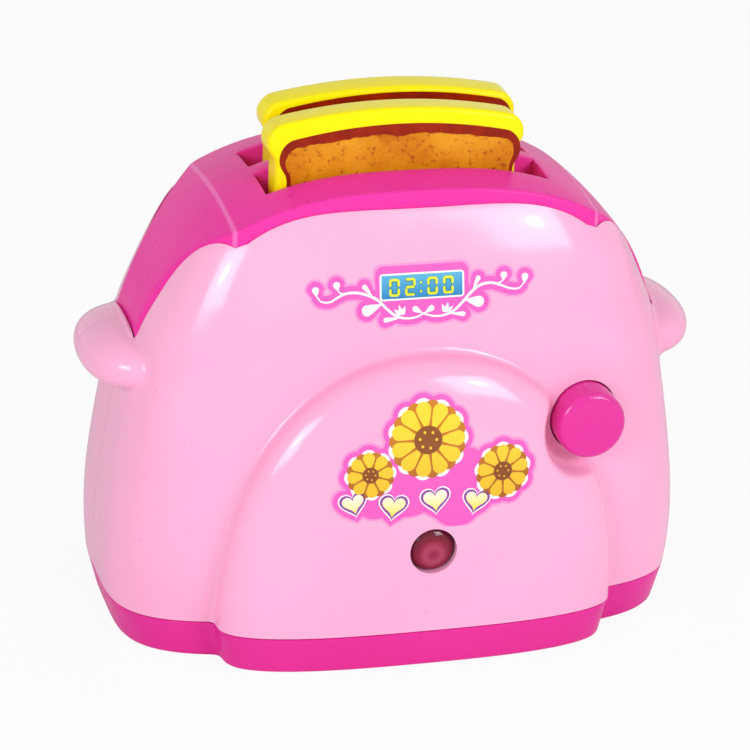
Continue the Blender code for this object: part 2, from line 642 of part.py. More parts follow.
def housing(name, facing):
    """One moulded half: the front one (facing -1) also carries the arch panel."""
    front = facing < 0
    obj = show(name, *body_form(0, SEAM_Z), PINK, gloss=0.22)
    if front:
        join(obj, arch_form(0, SEAM_Z))
    join(obj, ear_form(-1, 0), ear_form(1, 0), rim_lip(-1), rim_lip(1))
    hollow = helper(body_form(WALL, SEAM_Z - OVERRUN, INNER_QUARTER_STEPS, INNER_LEVEL_SHARES))
    clipper = helper(body_form(WALL / 2, SEAM_Z - OVERRUN, INNER_QUARTER_STEPS, INNER_LEVEL_SHARES))
    for side in (-1, 1):
        join(hollow, ear_form(side, WALL, EAR_INNER_SIDES, EAR_INNER_STEPS))
    if front:
        pocket = helper(arch_form(WALL, SEAM_Z - OVERRUN, ARCH_INNER_COLUMN_STEPS, ARCH_INNER_ROW_STEPS))
        well = (BUTTON_X, 0, BUTTON_Z)
        well_end = BODY_HALF_DEPTH + ARCH_RELIEF
        cut(pocket, rod(well, (0, -1, 0), RECESS_RADIUS + WALL, 0, well_end, ROUND_SIDES))
        join(hollow, pocket)
        join(clipper, arch_form(WALL / 2, SEAM_Z - OVERRUN, ARCH_INNER_COLUMN_STEPS, ARCH_INNER_ROW_STEPS))
    cut(obj, hollow, cover_opening(FIT))
    inner = structure(facing)
    clip(inner, clipper)
    join(obj, inner)
    far = BODY_HALF_WIDTH + EAR_HALF_LENGTH
    deep = BODY_HALF_DEPTH + ARCH_RELIEF + OVERRUN
    near, away = sorted((facing * SPLIT / 2, -facing * deep))
    cut(obj, block((-far, near, -OVERRUN), (far, away, BODY_CROWN_Z + OVERRUN)))
    if front:
        recess = [(BUTTON_FLOOR_Y, RECESS_RADIUS), (deep, RECESS_RADIUS + RECESS_DRAFT)]
        centre = (BUTTON_X, 0, BUTTON_Z)
        cut(obj, turned(recess, centre, (0, -1, 0)))
        cut(obj, rod(centre, (0, -1, 0), BUTTON_RADIUS + FIT, FINGER_Y, deep, ROUND_SIDES))
        cut(obj, rod(centre, (0, -1, 0), well_radius(), FINGER_Y, BUTTON_FLOOR_Y - WALL, ROUND_SIDES))
        lens_seat = (LENS_X, 0, LENS_Z)
        cut(obj, rod(lens_seat, (0, -1, 0), LENS_HOLE_RADIUS, ARCH_BACK_LOW, deep + OVERRUN, ROUND_SIDES))
    for x, y in corner_places():
        if y * facing > 0:
            pilot = CORNER_BOSS_HEIGHT - WALL
            cut(obj, rod((x, y, SEAM_Z), (0, 0, 1), SCREW_RADIUS + SLIDE_FIT, -OVERRUN, pilot, SCREW_SIDES))
    for side in (-1, 1):
        centre = (side * JOIN_X, 0, JOIN_Z)
        through = JOIN_SCREW_LENGTH - JOIN_HEAD_Y + WALL
        cut(obj, rod(centre, (0, facing, 0), SCREW_RADIUS + SLIDE_FIT, -OVERRUN, through, SCREW_SIDES))
        if not front:
            cut(obj, rod(centre, (0, 1, 0), HEAD_WELL_RADIUS, JOIN_HEAD_Y, deep, SMALL_SIDES))
    return obj


def structure(facing):
    """Bosses and ribs inside one housing half, before they are clipped to its wall."""
    deep = BODY_HALF_DEPTH + ARCH_RELIEF
    bosses = []
    for x, y in corner_places():
        if y * facing < 0:
            continue
        bottom = SEAM_Z + SPLIT
        top = bottom + CORNER_BOSS_HEIGHT
        bosses.append(rod((x, y, 0), (0, 0, 1), CORNER_BOSS_RADIUS, bottom, top))
        near, away = sorted((y, facing * deep))
        rib_low = BASE_TOP_Z + LIP_HEIGHT + FIT
        bosses.append(block((x - RIB_HALF_SHEET, near, rib_low), (x + RIB_HALF_SHEET, away, top)))
    for side in (-1, 1):
        centre = (side * JOIN_X, 0, JOIN_Z)
        bosses.append(rod(centre, (0, facing, 0), JOIN_BOSS_RADIUS, SPLIT / 2, deep))
        shelf_top = COVER_TOP_Z - COVER_CROWN - COVER_SKIRT - 2 * FIT - shelf_fall()
        near, away = sorted((facing * (COVER_HALF_DEPTH - SHELF_DEPTH / 2), facing * deep))
        low = (side * SHELF_X - SHELF_HALF_WIDTH, near, shelf_top - SHELF_HEIGHT)
        bosses.append(block(low, (side * SHELF_X + SHELF_HALF_WIDTH, away, shelf_top)))
    if facing < 0:
        finger_seat = (BUTTON_X, 0, FINGER_SCREW_Z)
        bosses.append(rod(finger_seat, (0, -1, 0), FINGER_BOSS_RADIUS, finger_back(), deep))
        for side in (-1, 1):
            centre = (LENS_X + side * BOARD_BOSS_X, 0, LENS_Z)
            bosses.append(rod(centre, (0, -1, 0), BOARD_BOSS_RADIUS, board_front() + FIT, deep))
    inner = helper(bosses[0])
    join(inner, *bosses[1:])
    if facing < 0:
        for side in (-1, 1):
            centre = (LENS_X + side * BOARD_BOSS_X, 0, LENS_Z)
            depth = board_front() + SMALL_SCREW_LENGTH
            cut(inner, rod(centre, (0, -1, 0), SMALL_SCREW_RADIUS + SLIDE_FIT, 0, depth, SCREW_SIDES))
        depth = finger_back() + SMALL_SCREW_LENGTH
        cut(inner, rod((BUTTON_X, 0, FINGER_SCREW_Z), (0, -1, 0), SMALL_SCREW_RADIUS + SLIDE_FIT, 0, depth))
        start = BUTTON_FLOOR_Y - WALL - WELL_DEPTH
        button_seat = (BUTTON_X, 0, BUTTON_Z)
        ring = helper(rod(button_seat, (0, -1, 0), well_radius() + WELL_WALL, start, BUTTON_FLOOR_Y))
        cut(ring, rod(button_seat, (0, -1, 0), well_radius(), 0, BUTTON_FLOOR_Y - WALL, ROUND_SIDES))
        join(inner, ring)
    return inner


def shelf_fall():
    return (COVER_TOP_Z - COVER_CREASE_Z) * (SHELF_X / COVER_CREASE_X) ** COVER_TOP_POWER


def well_radius():
    return BUTTON_FLANGE_RADIUS + FIT


def finger_back():
    """Depth of the boss face that the latch finger lies against."""
    return FINGER_Y + FINGER_SHEET + FIT


def board_front():
    """Depth of the lamp board's front face."""
    return ARCH_BACK_LOW + ARCH_RELIEF - WALL - BOARD_BOSS_LENGTH


def base_rings(low, high, inset):
    """Level outlines of the base, drafted from its top edge to its rounded foot."""
    rings = []
    third = BASE_EDGE / 3
    for z, round_in in ((low, BASE_EDGE), (low + third, third), (low + BASE_EDGE, 0), (high, 0)):
        fall = 1 - z / BASE_HEIGHT
        wide = 1 - (BASE_DRAFT_SIDE * fall + round_in) / BODY_HALF_WIDTH
        deep = 1 - (BASE_DRAFT_FRONT * fall + round_in) / BODY_HALF_DEPTH
        rings.append([(x * wide, y * deep, z) for x, y, _ in body_ring(SEAM_Z, inset)])
    return loft(rings)


def base_arch_rings(low, high):
    rings = []
    third = BASE_EDGE / 3
    for z, round_in in ((low, BASE_EDGE), (low + third, third), (low + BASE_EDGE, 0), (high, 0)):
        fall = 1 - z / BASE_HEIGHT
        wide = 1 - (ARCH_DRAFT_SIDE * fall + round_in) / ARCH_HALF_WIDTH
        shift = BASE_DRAFT_FRONT * fall + round_in
        rings.append([(x * wide, y + shift, z) for x, y, _ in arch_ring(BASE_HEIGHT, 0)])
    return loft(rings)


def straight(ring, low, high):
    return loft([[(x, y, low) for x, y, _ in ring], [(x, y, high) for x, y, _ in ring]])


def make_base():
    obj = show("base", *base_rings(0, BASE_TOP_Z, 0), MAGENTA, gloss=0.25)
    join(obj, base_arch_rings(0, BASE_TOP_Z))
    lip = WALL + FIT
    lip_top = BASE_TOP_Z + LIP_HEIGHT
    join(obj, straight(body_ring(SEAM_Z, lip, INNER_QUARTER_STEPS), BASE_FLOOR / 2, lip_top))
    join(obj, straight(arch_ring(BASE_HEIGHT, lip, ARCH_INNER_COLUMN_STEPS), BASE_FLOOR / 2, lip_top))
    inner = lip + LIP_WALL
    tray = helper(straight(body_ring(SEAM_Z, inner, INNER_QUARTER_STEPS), BASE_FLOOR, lip_top + OVERRUN))
    room = arch_ring(BASE_HEIGHT, inner, ARCH_INNER_COLUMN_STEPS)
    join(tray, straight(room, BASE_FLOOR, lip_top + OVERRUN))
    cut(obj, tray)
    for x, y in corner_places():
        join(obj, rod((x, y, 0), (0, 0, 1), CORNER_BOSS_RADIUS + LIP_WALL / 2, BASE_FLOOR / 2, SEAM_Z))
    for side in (-1, 1):
        join(obj, rod((side * ROD_X, 0, 0), (0, 0, 1), ROD_POST_RADIUS, BASE_FLOOR / 2, ROD_POST_HEIGHT))
        stop_top = CARRIAGE_FLOOR_Z - CARRIAGE_TRAVEL - FIT
        near, away = sorted((side * (STOP_X - STOP_HALF_SIZE), side * (STOP_X + STOP_HALF_SIZE)))
        join(obj, block((near, -STOP_HALF_SIZE, BASE_FLOOR / 2), (away, STOP_HALF_SIZE, stop_top)))
    bay_x = BAY_HALF_LENGTH + BAY_WALL
    roof = BAY_ROOF_Z + BAY_ROOF
    join(obj, block((-bay_x, BAY_FRONT_Y - BAY_WALL, BASE_FLOOR / 2), (bay_x, BAY_REAR_Y + BAY_WALL, roof)))
    door_boss = (door_screw_x(), door_y(), 0)
    join(obj, rod(door_boss, (0, 0, 1), DOOR_BOSS_RADIUS, BASE_FLOOR / 2, DOOR_BOSS_HEIGHT))
    low = (SWITCH_X - SWITCH_HALF_LENGTH, SWITCH_Y - SWITCH_HALF_WIDTH, BASE_FLOOR / 2)
    join(obj, block(low, (SWITCH_X + SWITCH_HALF_LENGTH, SWITCH_Y + SWITCH_HALF_WIDTH, SWITCH_POST_Z)))
    cut(obj, block((-BAY_HALF_LENGTH, BAY_FRONT_Y, -OVERRUN), (BAY_HALF_LENGTH, BAY_REAR_Y, BAY_ROOF_Z)))
    cut(obj, *door_outline(FIT, -OVERRUN, DOOR_SHEET + FIT))
    pilot = SCREW_RADIUS + SLIDE_FIT
    pilot_top = DOOR_BOSS_HEIGHT - WALL / 2
    cut(obj, rod(door_boss, (0, 0, 1), SMALL_SCREW_RADIUS + SLIDE_FIT, 0, pilot_top, SCREW_SIDES))
    for x, y in corner_places():
        cut(obj, rod((x, y, 0), (0, 0, 1), HEAD_WELL_RADIUS, -OVERRUN, CORNER_WELL_DEPTH))
        cut(obj, rod((x, y, 0), (0, 0, 1), pilot, 0, SEAM_Z + OVERRUN, SCREW_SIDES))
    for side in (-1, 1):
        seat = ROD_POST_HEIGHT - ROD_SEAT
        post = (side * ROD_X, 0, 0)
        cut(obj, rod(post, (0, 0, 1), ROD_RADIUS + SLIDE_FIT, seat, ROD_POST_HEIGHT + OVERRUN))
    hole = SWITCH_POST_Z - SMALL_SCREW_LENGTH
    top = SWITCH_POST_Z + OVERRUN
    cut(obj, rod((SWITCH_X, SWITCH_Y, 0), (0, 0, 1), SMALL_SCREW_RADIUS + SLIDE_FIT, hole, top, SCREW_SIDES))
    return obj


def door_y():
    return (BAY_FRONT_Y + BAY_REAR_Y) / 2


def door_screw_x():
    return BAY_HALF_LENGTH + DOOR_LEDGE + DOOR_TAB_LENGTH - DOOR_TAB_HALF_WIDTH


def door_outline(gap, low, high):
    """Boxes of the battery door and its screw tab, wider all round by gap."""
    end = BAY_HALF_LENGTH + DOOR_LEDGE
    plate = block(
        (-end - gap, BAY_FRONT_Y - DOOR_LEDGE - gap, low),
        (end + gap, BAY_REAR_Y + DOOR_LEDGE + gap, high),
    )
    tab = block(
        (end - DOOR_LEDGE, door_y() - DOOR_TAB_HALF_WIDTH - gap, low),
        (end + DOOR_TAB_LENGTH + gap, door_y() + DOOR_TAB_HALF_WIDTH + gap, high),
    )
    return plate, tab


def make_door():
    plate, tab = door_outline(0, 0, DOOR_SHEET)
    obj = show("battery_door", *plate, MAGENTA, gloss=0.3)
    join(obj, tab)
    centre = (door_screw_x(), door_y(), 0)
    cut(obj, rod(centre, (0, 0, 1), SMALL_HEAD_RADIUS + FIT, -OVERRUN, DOOR_WELL))
    cut(obj, rod(centre, (0, 0, 1), SMALL_SCREW_RADIUS + SLIDE_FIT, 0, DOOR_SHEET + OVERRUN, SCREW_SIDES))
    make_screw("battery_door_screw", centre, (0, 0, 1), DOOR_WELL - FIT, small=True)


def make_screw(name, centre, axis, seat, small=False, length=SMALL_SCREW_LENGTH):
    """A pan head screw. Its head lies before seat, measured from centre along axis, its shank beyond."""
    radius = SMALL_SCREW_RADIUS if small else SCREW_RADIUS
    head_radius = SMALL_HEAD_RADIUS if small else SCREW_HEAD_RADIUS
    head = SMALL_HEAD if small else SCREW_HEAD
    socket = head_radius * SOCKET_RADIUS_SHARE
    profile = [
        (seat - head + head * SOCKET_DEPTH_SHARE, socket / 2),
        (seat - head, socket),
        (seat - head, head_radius - head / 3),
        (seat - head + head / 3, head_radius),
        (seat, head_radius),
        (seat, radius),
        (seat + length - 2 * radius, radius),
        (seat + length - SLIDE_FIT, radius / 3),
    ]
    show(name, *turned(profile, centre, axis, SCREW_SIDES), STEEL, gloss=0.35, metal=1.0)


def make_cover():
    obj = show("top_cover", *cover_form(), MAGENTA, gloss=0.25)
    side = SLOT_HALF_LENGTH + COLLAR_WALL
    deep = SLOT_BAR / 2 + SLOT_WIDTH + COLLAR_WALL
    low = COVER_TOP_Z - COVER_WALL - COLLAR_DEPTH - COVER_CROWN
    high = COVER_TOP_Z + OVERRUN
    collar = helper(block((-side, -deep, low), (side, deep, high)))
    post_low = SLEEVE_TOP_Z + FIT
    for end in (-1, 1):
        join(collar, rod((end * ROD_X, 0, 0), (0, 0, 1), SLEEVE_RADIUS, post_low, high))
        web_near, web_far = sorted((end * SLOT_HALF_LENGTH + end * COLLAR_WALL / 2, end * ROD_X))
        join(collar, block((web_near, -BRIDGE_HALF_WIDTH, low), (web_far, BRIDGE_HALF_WIDTH, high)))
    clip(collar, helper(cover_core(post_low - OVERRUN)))
    join(obj, collar)
    for end in (-1, 1):
        post = (end * ROD_X, 0, 0)
        cut(obj, rod(post, (0, 0, 1), ROD_RADIUS + SLIDE_FIT, post_low - OVERRUN, ROD_TOP_Z + FIT))
        near, far = sorted((end * SLOT_BAR / 2, end * (SLOT_BAR / 2 + SLOT_WIDTH)))
        cut(obj, block((-SLOT_HALF_LENGTH, near, low - OVERRUN), (SLOT_HALF_LENGTH, far, high)))
    bar = SLOT_BAR / 2 - COLLAR_WALL
    bar_top = COVER_TOP_Z - COVER_CROWN - shelf_fall() - (COVER_TOP_Z - COVER_CREASE_Z) / 2 - COLLAR_WALL
    cut(obj, block((-SLOT_HALF_LENGTH, -bar, low - OVERRUN), (SLOT_HALF_LENGTH, bar, bar_top)))
    return obj


def curve(start, pull, push, end, steps):
    """Points after start on a cubic curve."""
    points = []
    for k in range(1, steps + 1):
        t = k / steps
        weights = ((1 - t) ** 3, 3 * t * (1 - t) ** 2, 3 * t**2 * (1 - t), t**3)
        x = sum(w * p[0] for w, p in zip(weights, (start, pull, push, end)))
        z = sum(w * p[1] for w, p in zip(weights, (start, pull, push, end)))
        points.append((x, z))
    return points


def slice_outline(curve_steps=SLICE_CURVE_STEPS, crest_steps=SLICE_CREST_STEPS):
    """The loaf-shaped outline, anticlockwise from the foot, with heights measured from the foot."""
    top = SLICE_TOP_Z - SLICE_FOOT_Z
    body, head = SLICE_HALF_WIDTH, SLICE_HEAD_HALF_WIDTH
    neck, widest, shoulder = top - SLICE_NECK_DROP, top - SLICE_WIDEST_DROP, top - SLICE_SHOULDER_DROP
    foot = SLICE_FOOT_RADIUS
    half = [(body - foot, 0)]
    half += curve((body - foot, 0), (body - foot / 2, 0), (body, foot / 2), (body, foot), 3)
    half.append((body, neck))
    rise = (widest - neck) / 2
    half += curve((body, neck), (body, neck + rise), (head, widest - rise), (head, widest), curve_steps)
    bend = (shoulder - widest) / 2
    turn = (SLICE_SHOULDER_X, shoulder)
    reach = (head - SLICE_SHOULDER_X) / 2
    slope = 2 * SLICE_SHOULDER_DROP / SLICE_SHOULDER_X
    before = (turn[0] + reach, turn[1] - reach * slope)
    half += curve((head, widest), (head, widest + bend), before, turn, curve_steps)
    for k in range(1, crest_steps):
        x = SLICE_SHOULDER_X * (1 - k / crest_steps)
        half.append((x, top - SLICE_SHOULDER_DROP * (x / SLICE_SHOULDER_X) ** 2))
    return half + [(0, top)] + [(-x, z) for x, z in reversed(half)]


def inward(outline, amount):
    """The outline moved inwards by amount, square to its edges."""
    moved = []
    for k, (x, z) in enumerate(outline):
        before, after = Vector(outline[k - 1]), Vector(outline[(k + 1) % len(outline)])
        along = (after - before).normalized()
        moved.append((x - along.y * amount, z + along.x * amount))
    return moved


def slice_place(front):
    """(x, y at the slot, lean) of a slice."""
    side = -1 if front else 1
    x = SLICE_FRONT_X if front else SLICE_REAR_X
    return x, side * SLOT_PITCH / 2, SLICE_FRONT_LEAN if front else SLICE_REAR_LEAN


def slice_foot_y(front):
    _, y, lean = slice_place(front)
    return y + (SLICE_TIP_Z - SLICE_FOOT_Z) * tan(lean)


def make_slice(name, front):
    """A loaf-shaped plate with rounded edges, standing in its trough and leaning in its slot."""
    x, _, lean = slice_place(front)
    foot = Vector((x, slice_foot_y(front), SLICE_FOOT_Z))
    outline = slice_outline()
    half, edge = SLICE_THICKNESS / 2, SLICE_EDGE
    rings = []
    for y, inset in ((-half, edge), (-half + edge / 3, edge / 3), (-half + edge, 0), (half - edge, 0),
                     (half - edge / 3, edge / 3), (half, edge)):
        lift = SLICE_THICKNESS / 2 * abs(sin(lean))
        rings.append([(px, y, pz + lift) for px, pz in inward(outline, inset)])
    obj = show(name, *loft(rings), YELLOW, gloss=0.3)
    obj.data.transform(Matrix.Translation(foot) @ Matrix.Rotation(lean, 4, "X"))
    set_origin(obj, foot)
    return obj


def make_carriage():
    low, top = CARRIAGE_FLOOR_Z, CARRIAGE_FLOOR_Z + CARRIAGE_FLOOR + TROUGH_DEPTH
    half = SLICE_THICKNESS / 2 + TROUGH_PLAY
    front, rear = slice_foot_y(True), slice_foot_y(False)
    end = TROUGH_HALF_LENGTH + TROUGH_WALL
    outer_front, outer_rear = front - half - TROUGH_WALL, rear + half + TROUGH_WALL
    obj = show("carriage", *block((-end, outer_front, low), (end, outer_rear, top)), WHITE, gloss=0.4)
    for y in (front, rear):
        room = (-TROUGH_HALF_LENGTH, y - half, low + CARRIAGE_FLOOR)
        cut(obj, block(room, (TROUGH_HALF_LENGTH, y + half, top + OVERRUN)))
    pocket_low = (-WEB_POCKET_HALF_LENGTH, front + half + WEB_WALL, low - OVERRUN)
    cut(obj, block(pocket_low, (WEB_POCKET_HALF_LENGTH, rear - half - WEB_WALL, top - WEB_WALL)))
    for side in (-1, 1):
        join(obj, rod((side * ROD_X, 0, 0), (0, 0, 1), SLEEVE_RADIUS, SLEEVE_BOTTOM_Z, SLEEVE_TOP_Z))
        near, far = sorted((side * (end - TROUGH_WALL / 2), side * ROD_X))
        join(obj, block((near, -BRIDGE_HALF_WIDTH, low), (far, BRIDGE_HALF_WIDTH, low + BRIDGE_HEIGHT)))
    arm_x = ARM_INNER_X + ARM_WIDTH
    tooth_front = finger_back() + FIT + TOOTH_DEPTH
    join(obj, block((ROD_X, -BRIDGE_HALF_WIDTH, low), (arm_x, BRIDGE_HALF_WIDTH, low + ARM_HEIGHT)))
    join(obj, block((ARM_INNER_X, -tooth_front, low), (arm_x, BRIDGE_HALF_WIDTH / 2, low + ARM_HEIGHT)))
    tooth_low = (ARM_INNER_X - TOOTH_LENGTH, -tooth_front, low)
    join(obj, block(tooth_low, (arm_x, -tooth_front + TOOTH_DEPTH, low + ARM_HEIGHT)))
    foot_x = leaf_tip_x()
    foot_front = SWITCH_Y - SWITCH_HALF_WIDTH / 2
    foot_low = (foot_x - FOOT_HALF_WIDTH, foot_front, low - FOOT_DROP)
    foot_high = (foot_x + FOOT_HALF_WIDTH, outer_front + TROUGH_WALL / 2, low + CARRIAGE_FLOOR)
    join(obj, block(foot_low, foot_high))
    for side in (-1, 1):
        hole = ROD_RADIUS + SLIDE_FIT
        sleeve = (side * ROD_X, 0, 0)
        cut(obj, rod(sleeve, (0, 0, 1), hole, SLEEVE_BOTTOM_Z - OVERRUN, SLEEVE_TOP_Z + OVERRUN))
    set_origin(obj, (0, 0, CARRIAGE_FLOOR_Z))
    return obj


def leaf_tip_x():
    return SWITCH_X + LEAF_LENGTH


def make_rods_and_springs():
    for name, side in (("left", -1), ("right", 1)):
        centre = (side * ROD_X, 0, 0)
        low = ROD_POST_HEIGHT - ROD_SEAT + FIT
        profile = [(low, ROD_RADIUS), (ROD_TOP_Z, ROD_RADIUS)]
        shape = turned(profile, centre, (0, 0, 1), SMALL_SIDES)
        show("guide_rod_" + name, *shape, STEEL, gloss=0.2, metal=1.0)
        bottom = ROD_POST_HEIGHT + SPRING_WIRE + FIT
        top = SLEEVE_BOTTOM_Z - SPRING_WIRE - FIT
        coil = spring_form(centre, bottom, top)
        obj = show("lift_spring_" + name, *coil, STEEL, gloss=0.3, metal=1.0)
        set_origin(obj, (side * ROD_X, 0, bottom))


def spring_form(centre, bottom, top):
    """An open coil of round wire, as rings square to the path."""
    count = SPRING_TURN_STEPS * SPRING_SIDES
    path = []
    for k in range(count + 1):
        angle = 2 * pi * k / SPRING_SIDES
        z = bottom + (top - bottom) * k / count
        across, deep = SPRING_RADIUS * cos(angle), SPRING_RADIUS * sin(angle)
        path.append(Vector((centre[0] + across, centre[1] + deep, z)))
    rings = []
    for k, point in enumerate(path):
        along = (path[min(k + 1, count)] - path[max(k - 1, 0)]).normalized()
        out = Vector((point.x - centre[0], point.y - centre[1], 0)).normalized()
        up = along.cross(out)
        turns = [pi / 2 * j for j in range(4)]
        rings.append([point + (out * cos(a) + up * sin(a)) * SPRING_WIRE for a in turns])
    return loft(rings)


def make_button():
    face = BUTTON_FLOOR_Y + BUTTON_PROUD
    flange_front = BUTTON_FLOOR_Y - WALL - FIT
    stem_end = FINGER_Y + FINGER_SHEET + FIT
    flange_back = flange_front - BUTTON_FLANGE
    profile = [(stem_end, BUTTON_STEM_RADIUS - FIT), (stem_end + FIT, BUTTON_STEM_RADIUS)]
    profile += [(flange_back, BUTTON_STEM_RADIUS), (flange_back, BUTTON_FLANGE_RADIUS)]
    profile += [(flange_front, BUTTON_FLANGE_RADIUS), (flange_front, BUTTON_RADIUS)]
    for k in range(4):
        turn = pi / 2 * k / 3
        place = face - BUTTON_CROWN - BUTTON_EDGE * (1 - sin(turn))
        profile.append((place, BUTTON_RADIUS - BUTTON_EDGE * (1 - cos(turn))))
    profile.append((face - BUTTON_CROWN / 3, BUTTON_RADIUS / 2))
    profile.append((face, BUTTON_RADIUS / 8))
    obj = show("button", *turned(profile, (BUTTON_X, 0, BUTTON_Z), (0, -1, 0)), MAGENTA, gloss=0.25)
    set_origin(obj, (BUTTON_X, -flange_front, BUTTON_Z))


def make_finger():
    """A spring strip with a wing that hooks over the carriage's tooth."""
    back, front = -FINGER_Y, -FINGER_Y - FINGER_SHEET
    low = (BUTTON_X - FINGER_HALF_WIDTH, front, FINGER_FOOT_Z)
    shape = block(low, (BUTTON_X + FINGER_HALF_WIDTH, back, FINGER_TOP_Z))
    obj = show("latch_finger", *shape, STEEL, gloss=0.3, metal=1.0)
    wing_end = ARM_INNER_X - SLIDE_FIT
    wing_top = FINGER_WING_LOW_Z + FINGER_WING_HEIGHT
    join(obj, block((BUTTON_X, front, FINGER_WING_LOW_Z), (wing_end, back, wing_top)))
    hook = (wing_end - TOOTH_LENGTH / 2, front - FINGER_HOOK, FINGER_WING_LOW_Z)
    join(obj, block(hook, (wing_end, back, FINGER_WING_LOW_Z + FINGER_SHEET)))
    centre = (BUTTON_X, 0, FINGER_SCREW_Z)
    cut(obj, rod(centre, (0, -1, 0), SMALL_SCREW_RADIUS + SLIDE_FIT, 0, BODY_HALF_DEPTH, SCREW_SIDES))
    set_origin(obj, (BUTTON_X, -FINGER_Y, FINGER_FOOT_Z))
    make_screw("latch_screw", centre, (0, -1, 0), FINGER_Y - FIT, small=True)


def make_lamp():
    face = arch_front(LENS_X, LENS_Z, 0)
    inner = arch_front(LENS_X, LENS_Z, WALL) - FIT
    profile = [(inner - LENS_FLANGE, LENS_RADIUS - LENS_FLANGE), (inner - LENS_FLANGE, LENS_FLANGE_RADIUS)]
    profile += [(inner, LENS_FLANGE_RADIUS), (inner, LENS_RADIUS)]
    rim = face - LENS_RECESS - LENS_DOME
    for k in range(6):
        turn = pi / 2 * k / 6
        profile.append((rim + LENS_DOME * sin(turn), LENS_RADIUS * cos(turn)))
    centre = (LENS_X, 0, LENS_Z)
    show("indicator_lens", *turned(profile, centre, (0, -1, 0)), WINE, gloss=0.12)
    board = board_front()
    low = (LENS_X - BOARD_HALF_LENGTH, -board, LENS_Z - BOARD_HALF_HEIGHT)
    high = (LENS_X + BOARD_HALF_LENGTH, -board + BOARD_SHEET, LENS_Z + BOARD_HALF_HEIGHT)
    obj = show("led_board", *block(low, high), GREEN, gloss=0.4)
    for name, side in (("1", -1), ("2", 1)):
        place = (LENS_X + side * BOARD_BOSS_X, 0, LENS_Z)
        hole = SMALL_SCREW_RADIUS + SLIDE_FIT
        cut(obj, rod(place, (0, -1, 0), hole, board - 2 * BOARD_SHEET, board + BOARD_SHEET, SCREW_SIDES))
        make_screw("led_board_screw_" + name, place, (0, -1, 0), board - BOARD_SHEET - FIT, small=True)
    start = board + FIT
    tip = start + LAMP_LENGTH
    bulb = [(start, LAMP_RADIUS + FIT), (start + FIT, LAMP_RADIUS), (tip - LAMP_RADIUS, LAMP_RADIUS)]
    bulb += [(tip - LAMP_RADIUS / 3, LAMP_RADIUS * 3 / 4), (tip, LAMP_RADIUS / 4)]
    show("led_lamp", *turned(bulb, centre, (0, -1, 0), SMALL_SIDES), WHITE, gloss=0.1)


def make_cells():
    """Two cells side by side, head to tail, with the three contacts at their ends."""
    end = BAY_HALF_LENGTH - FIT
    for k, side in enumerate((1, -1)):
        start = -CELL_LENGTH / 2 - CELL_NUB / 2
        profile = [(start, CELL_RADIUS - CONTACT_SHEET), (start + CONTACT_SHEET, CELL_RADIUS)]
        shoulder = start + CELL_LENGTH
        profile += [(shoulder - CONTACT_SHEET, CELL_RADIUS), (shoulder, CELL_RADIUS - CONTACT_SHEET)]
        profile += [(shoulder, CELL_NUB_RADIUS), (shoulder + CELL_NUB, CELL_NUB_RADIUS)]
        centre = (0, CELL_Y[k], CELL_Z)
        show(f"battery_{k + 1}", *turned(profile, centre, (side, 0, 0), SMALL_SIDES), BLACK, gloss=0.3)
    plates = (
        ("contact_positive", 1, (0,)),
        ("contact_negative", 1, (1,)),
        ("contact_bridge", -1, (0, 1)),
    )
    for name, side, cells in plates:
        near, far = sorted((side * end, side * (end - CONTACT_SHEET)))
        edge = CELL_RADIUS - CONTACT_EDGE
        low = (near, CELL_Y[cells[0]] - edge, CELL_Z - edge)
        high = (far, CELL_Y[cells[-1]] + edge, CELL_Z + edge)
        obj = show(name, *block(low, high), STEEL, gloss=0.3, metal=1.0)
        for k in cells:
            cell_end = (CELL_LENGTH + CELL_NUB) / 2 + FIT
            pad = [(cell_end, CONTACT_PAD_RADIUS / 2), (end - CONTACT_SHEET / 2, CONTACT_PAD_RADIUS)]
            join(obj, turned(pad, (0, CELL_Y[k], CELL_Z), (side, 0, 0), SCREW_SIDES))


def leaf_form(low, rise):
    """A strip that lies flat under the screw and then slopes up."""
    bend = SWITCH_X + SWITCH_HALF_LENGTH
    start, tip = SWITCH_X - SWITCH_HALF_LENGTH, leaf_tip_x() + FOOT_HALF_WIDTH
    rings = []
    for x, z in ((start, low), (bend, low), (tip, low + rise)):
        near, far = SWITCH_Y - SWITCH_HALF_WIDTH, SWITCH_Y + SWITCH_HALF_WIDTH
        rings.append([(x, near, z), (x, far, z), (x, far, z + LEAF_SHEET), (x, near, z + LEAF_SHEET)])
    return loft(rings)


def make_switch():
    fixed = SWITCH_POST_Z + FIT
    spacer = fixed + LEAF_SHEET + FIT
    moving = spacer + SWITCH_SPACER + FIT
    low = (SWITCH_X - SWITCH_HALF_LENGTH, SWITCH_Y - SWITCH_HALF_WIDTH, spacer)
    high = (SWITCH_X + SWITCH_HALF_LENGTH, SWITCH_Y + SWITCH_HALF_WIDTH, spacer + SWITCH_SPACER)
    pieces = [
        show("switch_leaf_fixed", *leaf_form(fixed, LEAF_FIXED_RISE), STEEL, gloss=0.3, metal=1.0),
        show("switch_spacer", *block(low, high), BLACK, gloss=0.5),
        show("switch_leaf_moving", *leaf_form(moving, LEAF_MOVING_RISE), STEEL, gloss=0.3, metal=1.0),
    ]
    for obj in pieces:
        hole = SMALL_SCREW_RADIUS + SLIDE_FIT
        centre = (SWITCH_X, SWITCH_Y, 0)
        cut(obj, rod(centre, (0, 0, 1), hole, SWITCH_POST_Z - OVERRUN, moving + OVERRUN, SCREW_SIDES))
    head = moving + LEAF_SHEET + FIT
    length = head - SWITCH_POST_Z + SMALL_SCREW_LENGTH - 2 * FIT
    make_screw("switch_screw", (SWITCH_X, SWITCH_Y, 0), (0, 0, -1), -head, small=True, length=length)


def clear_scene():
    for obj in list(bpy.data.objects):
        bpy.data.objects.remove(obj, do_unlink=True)


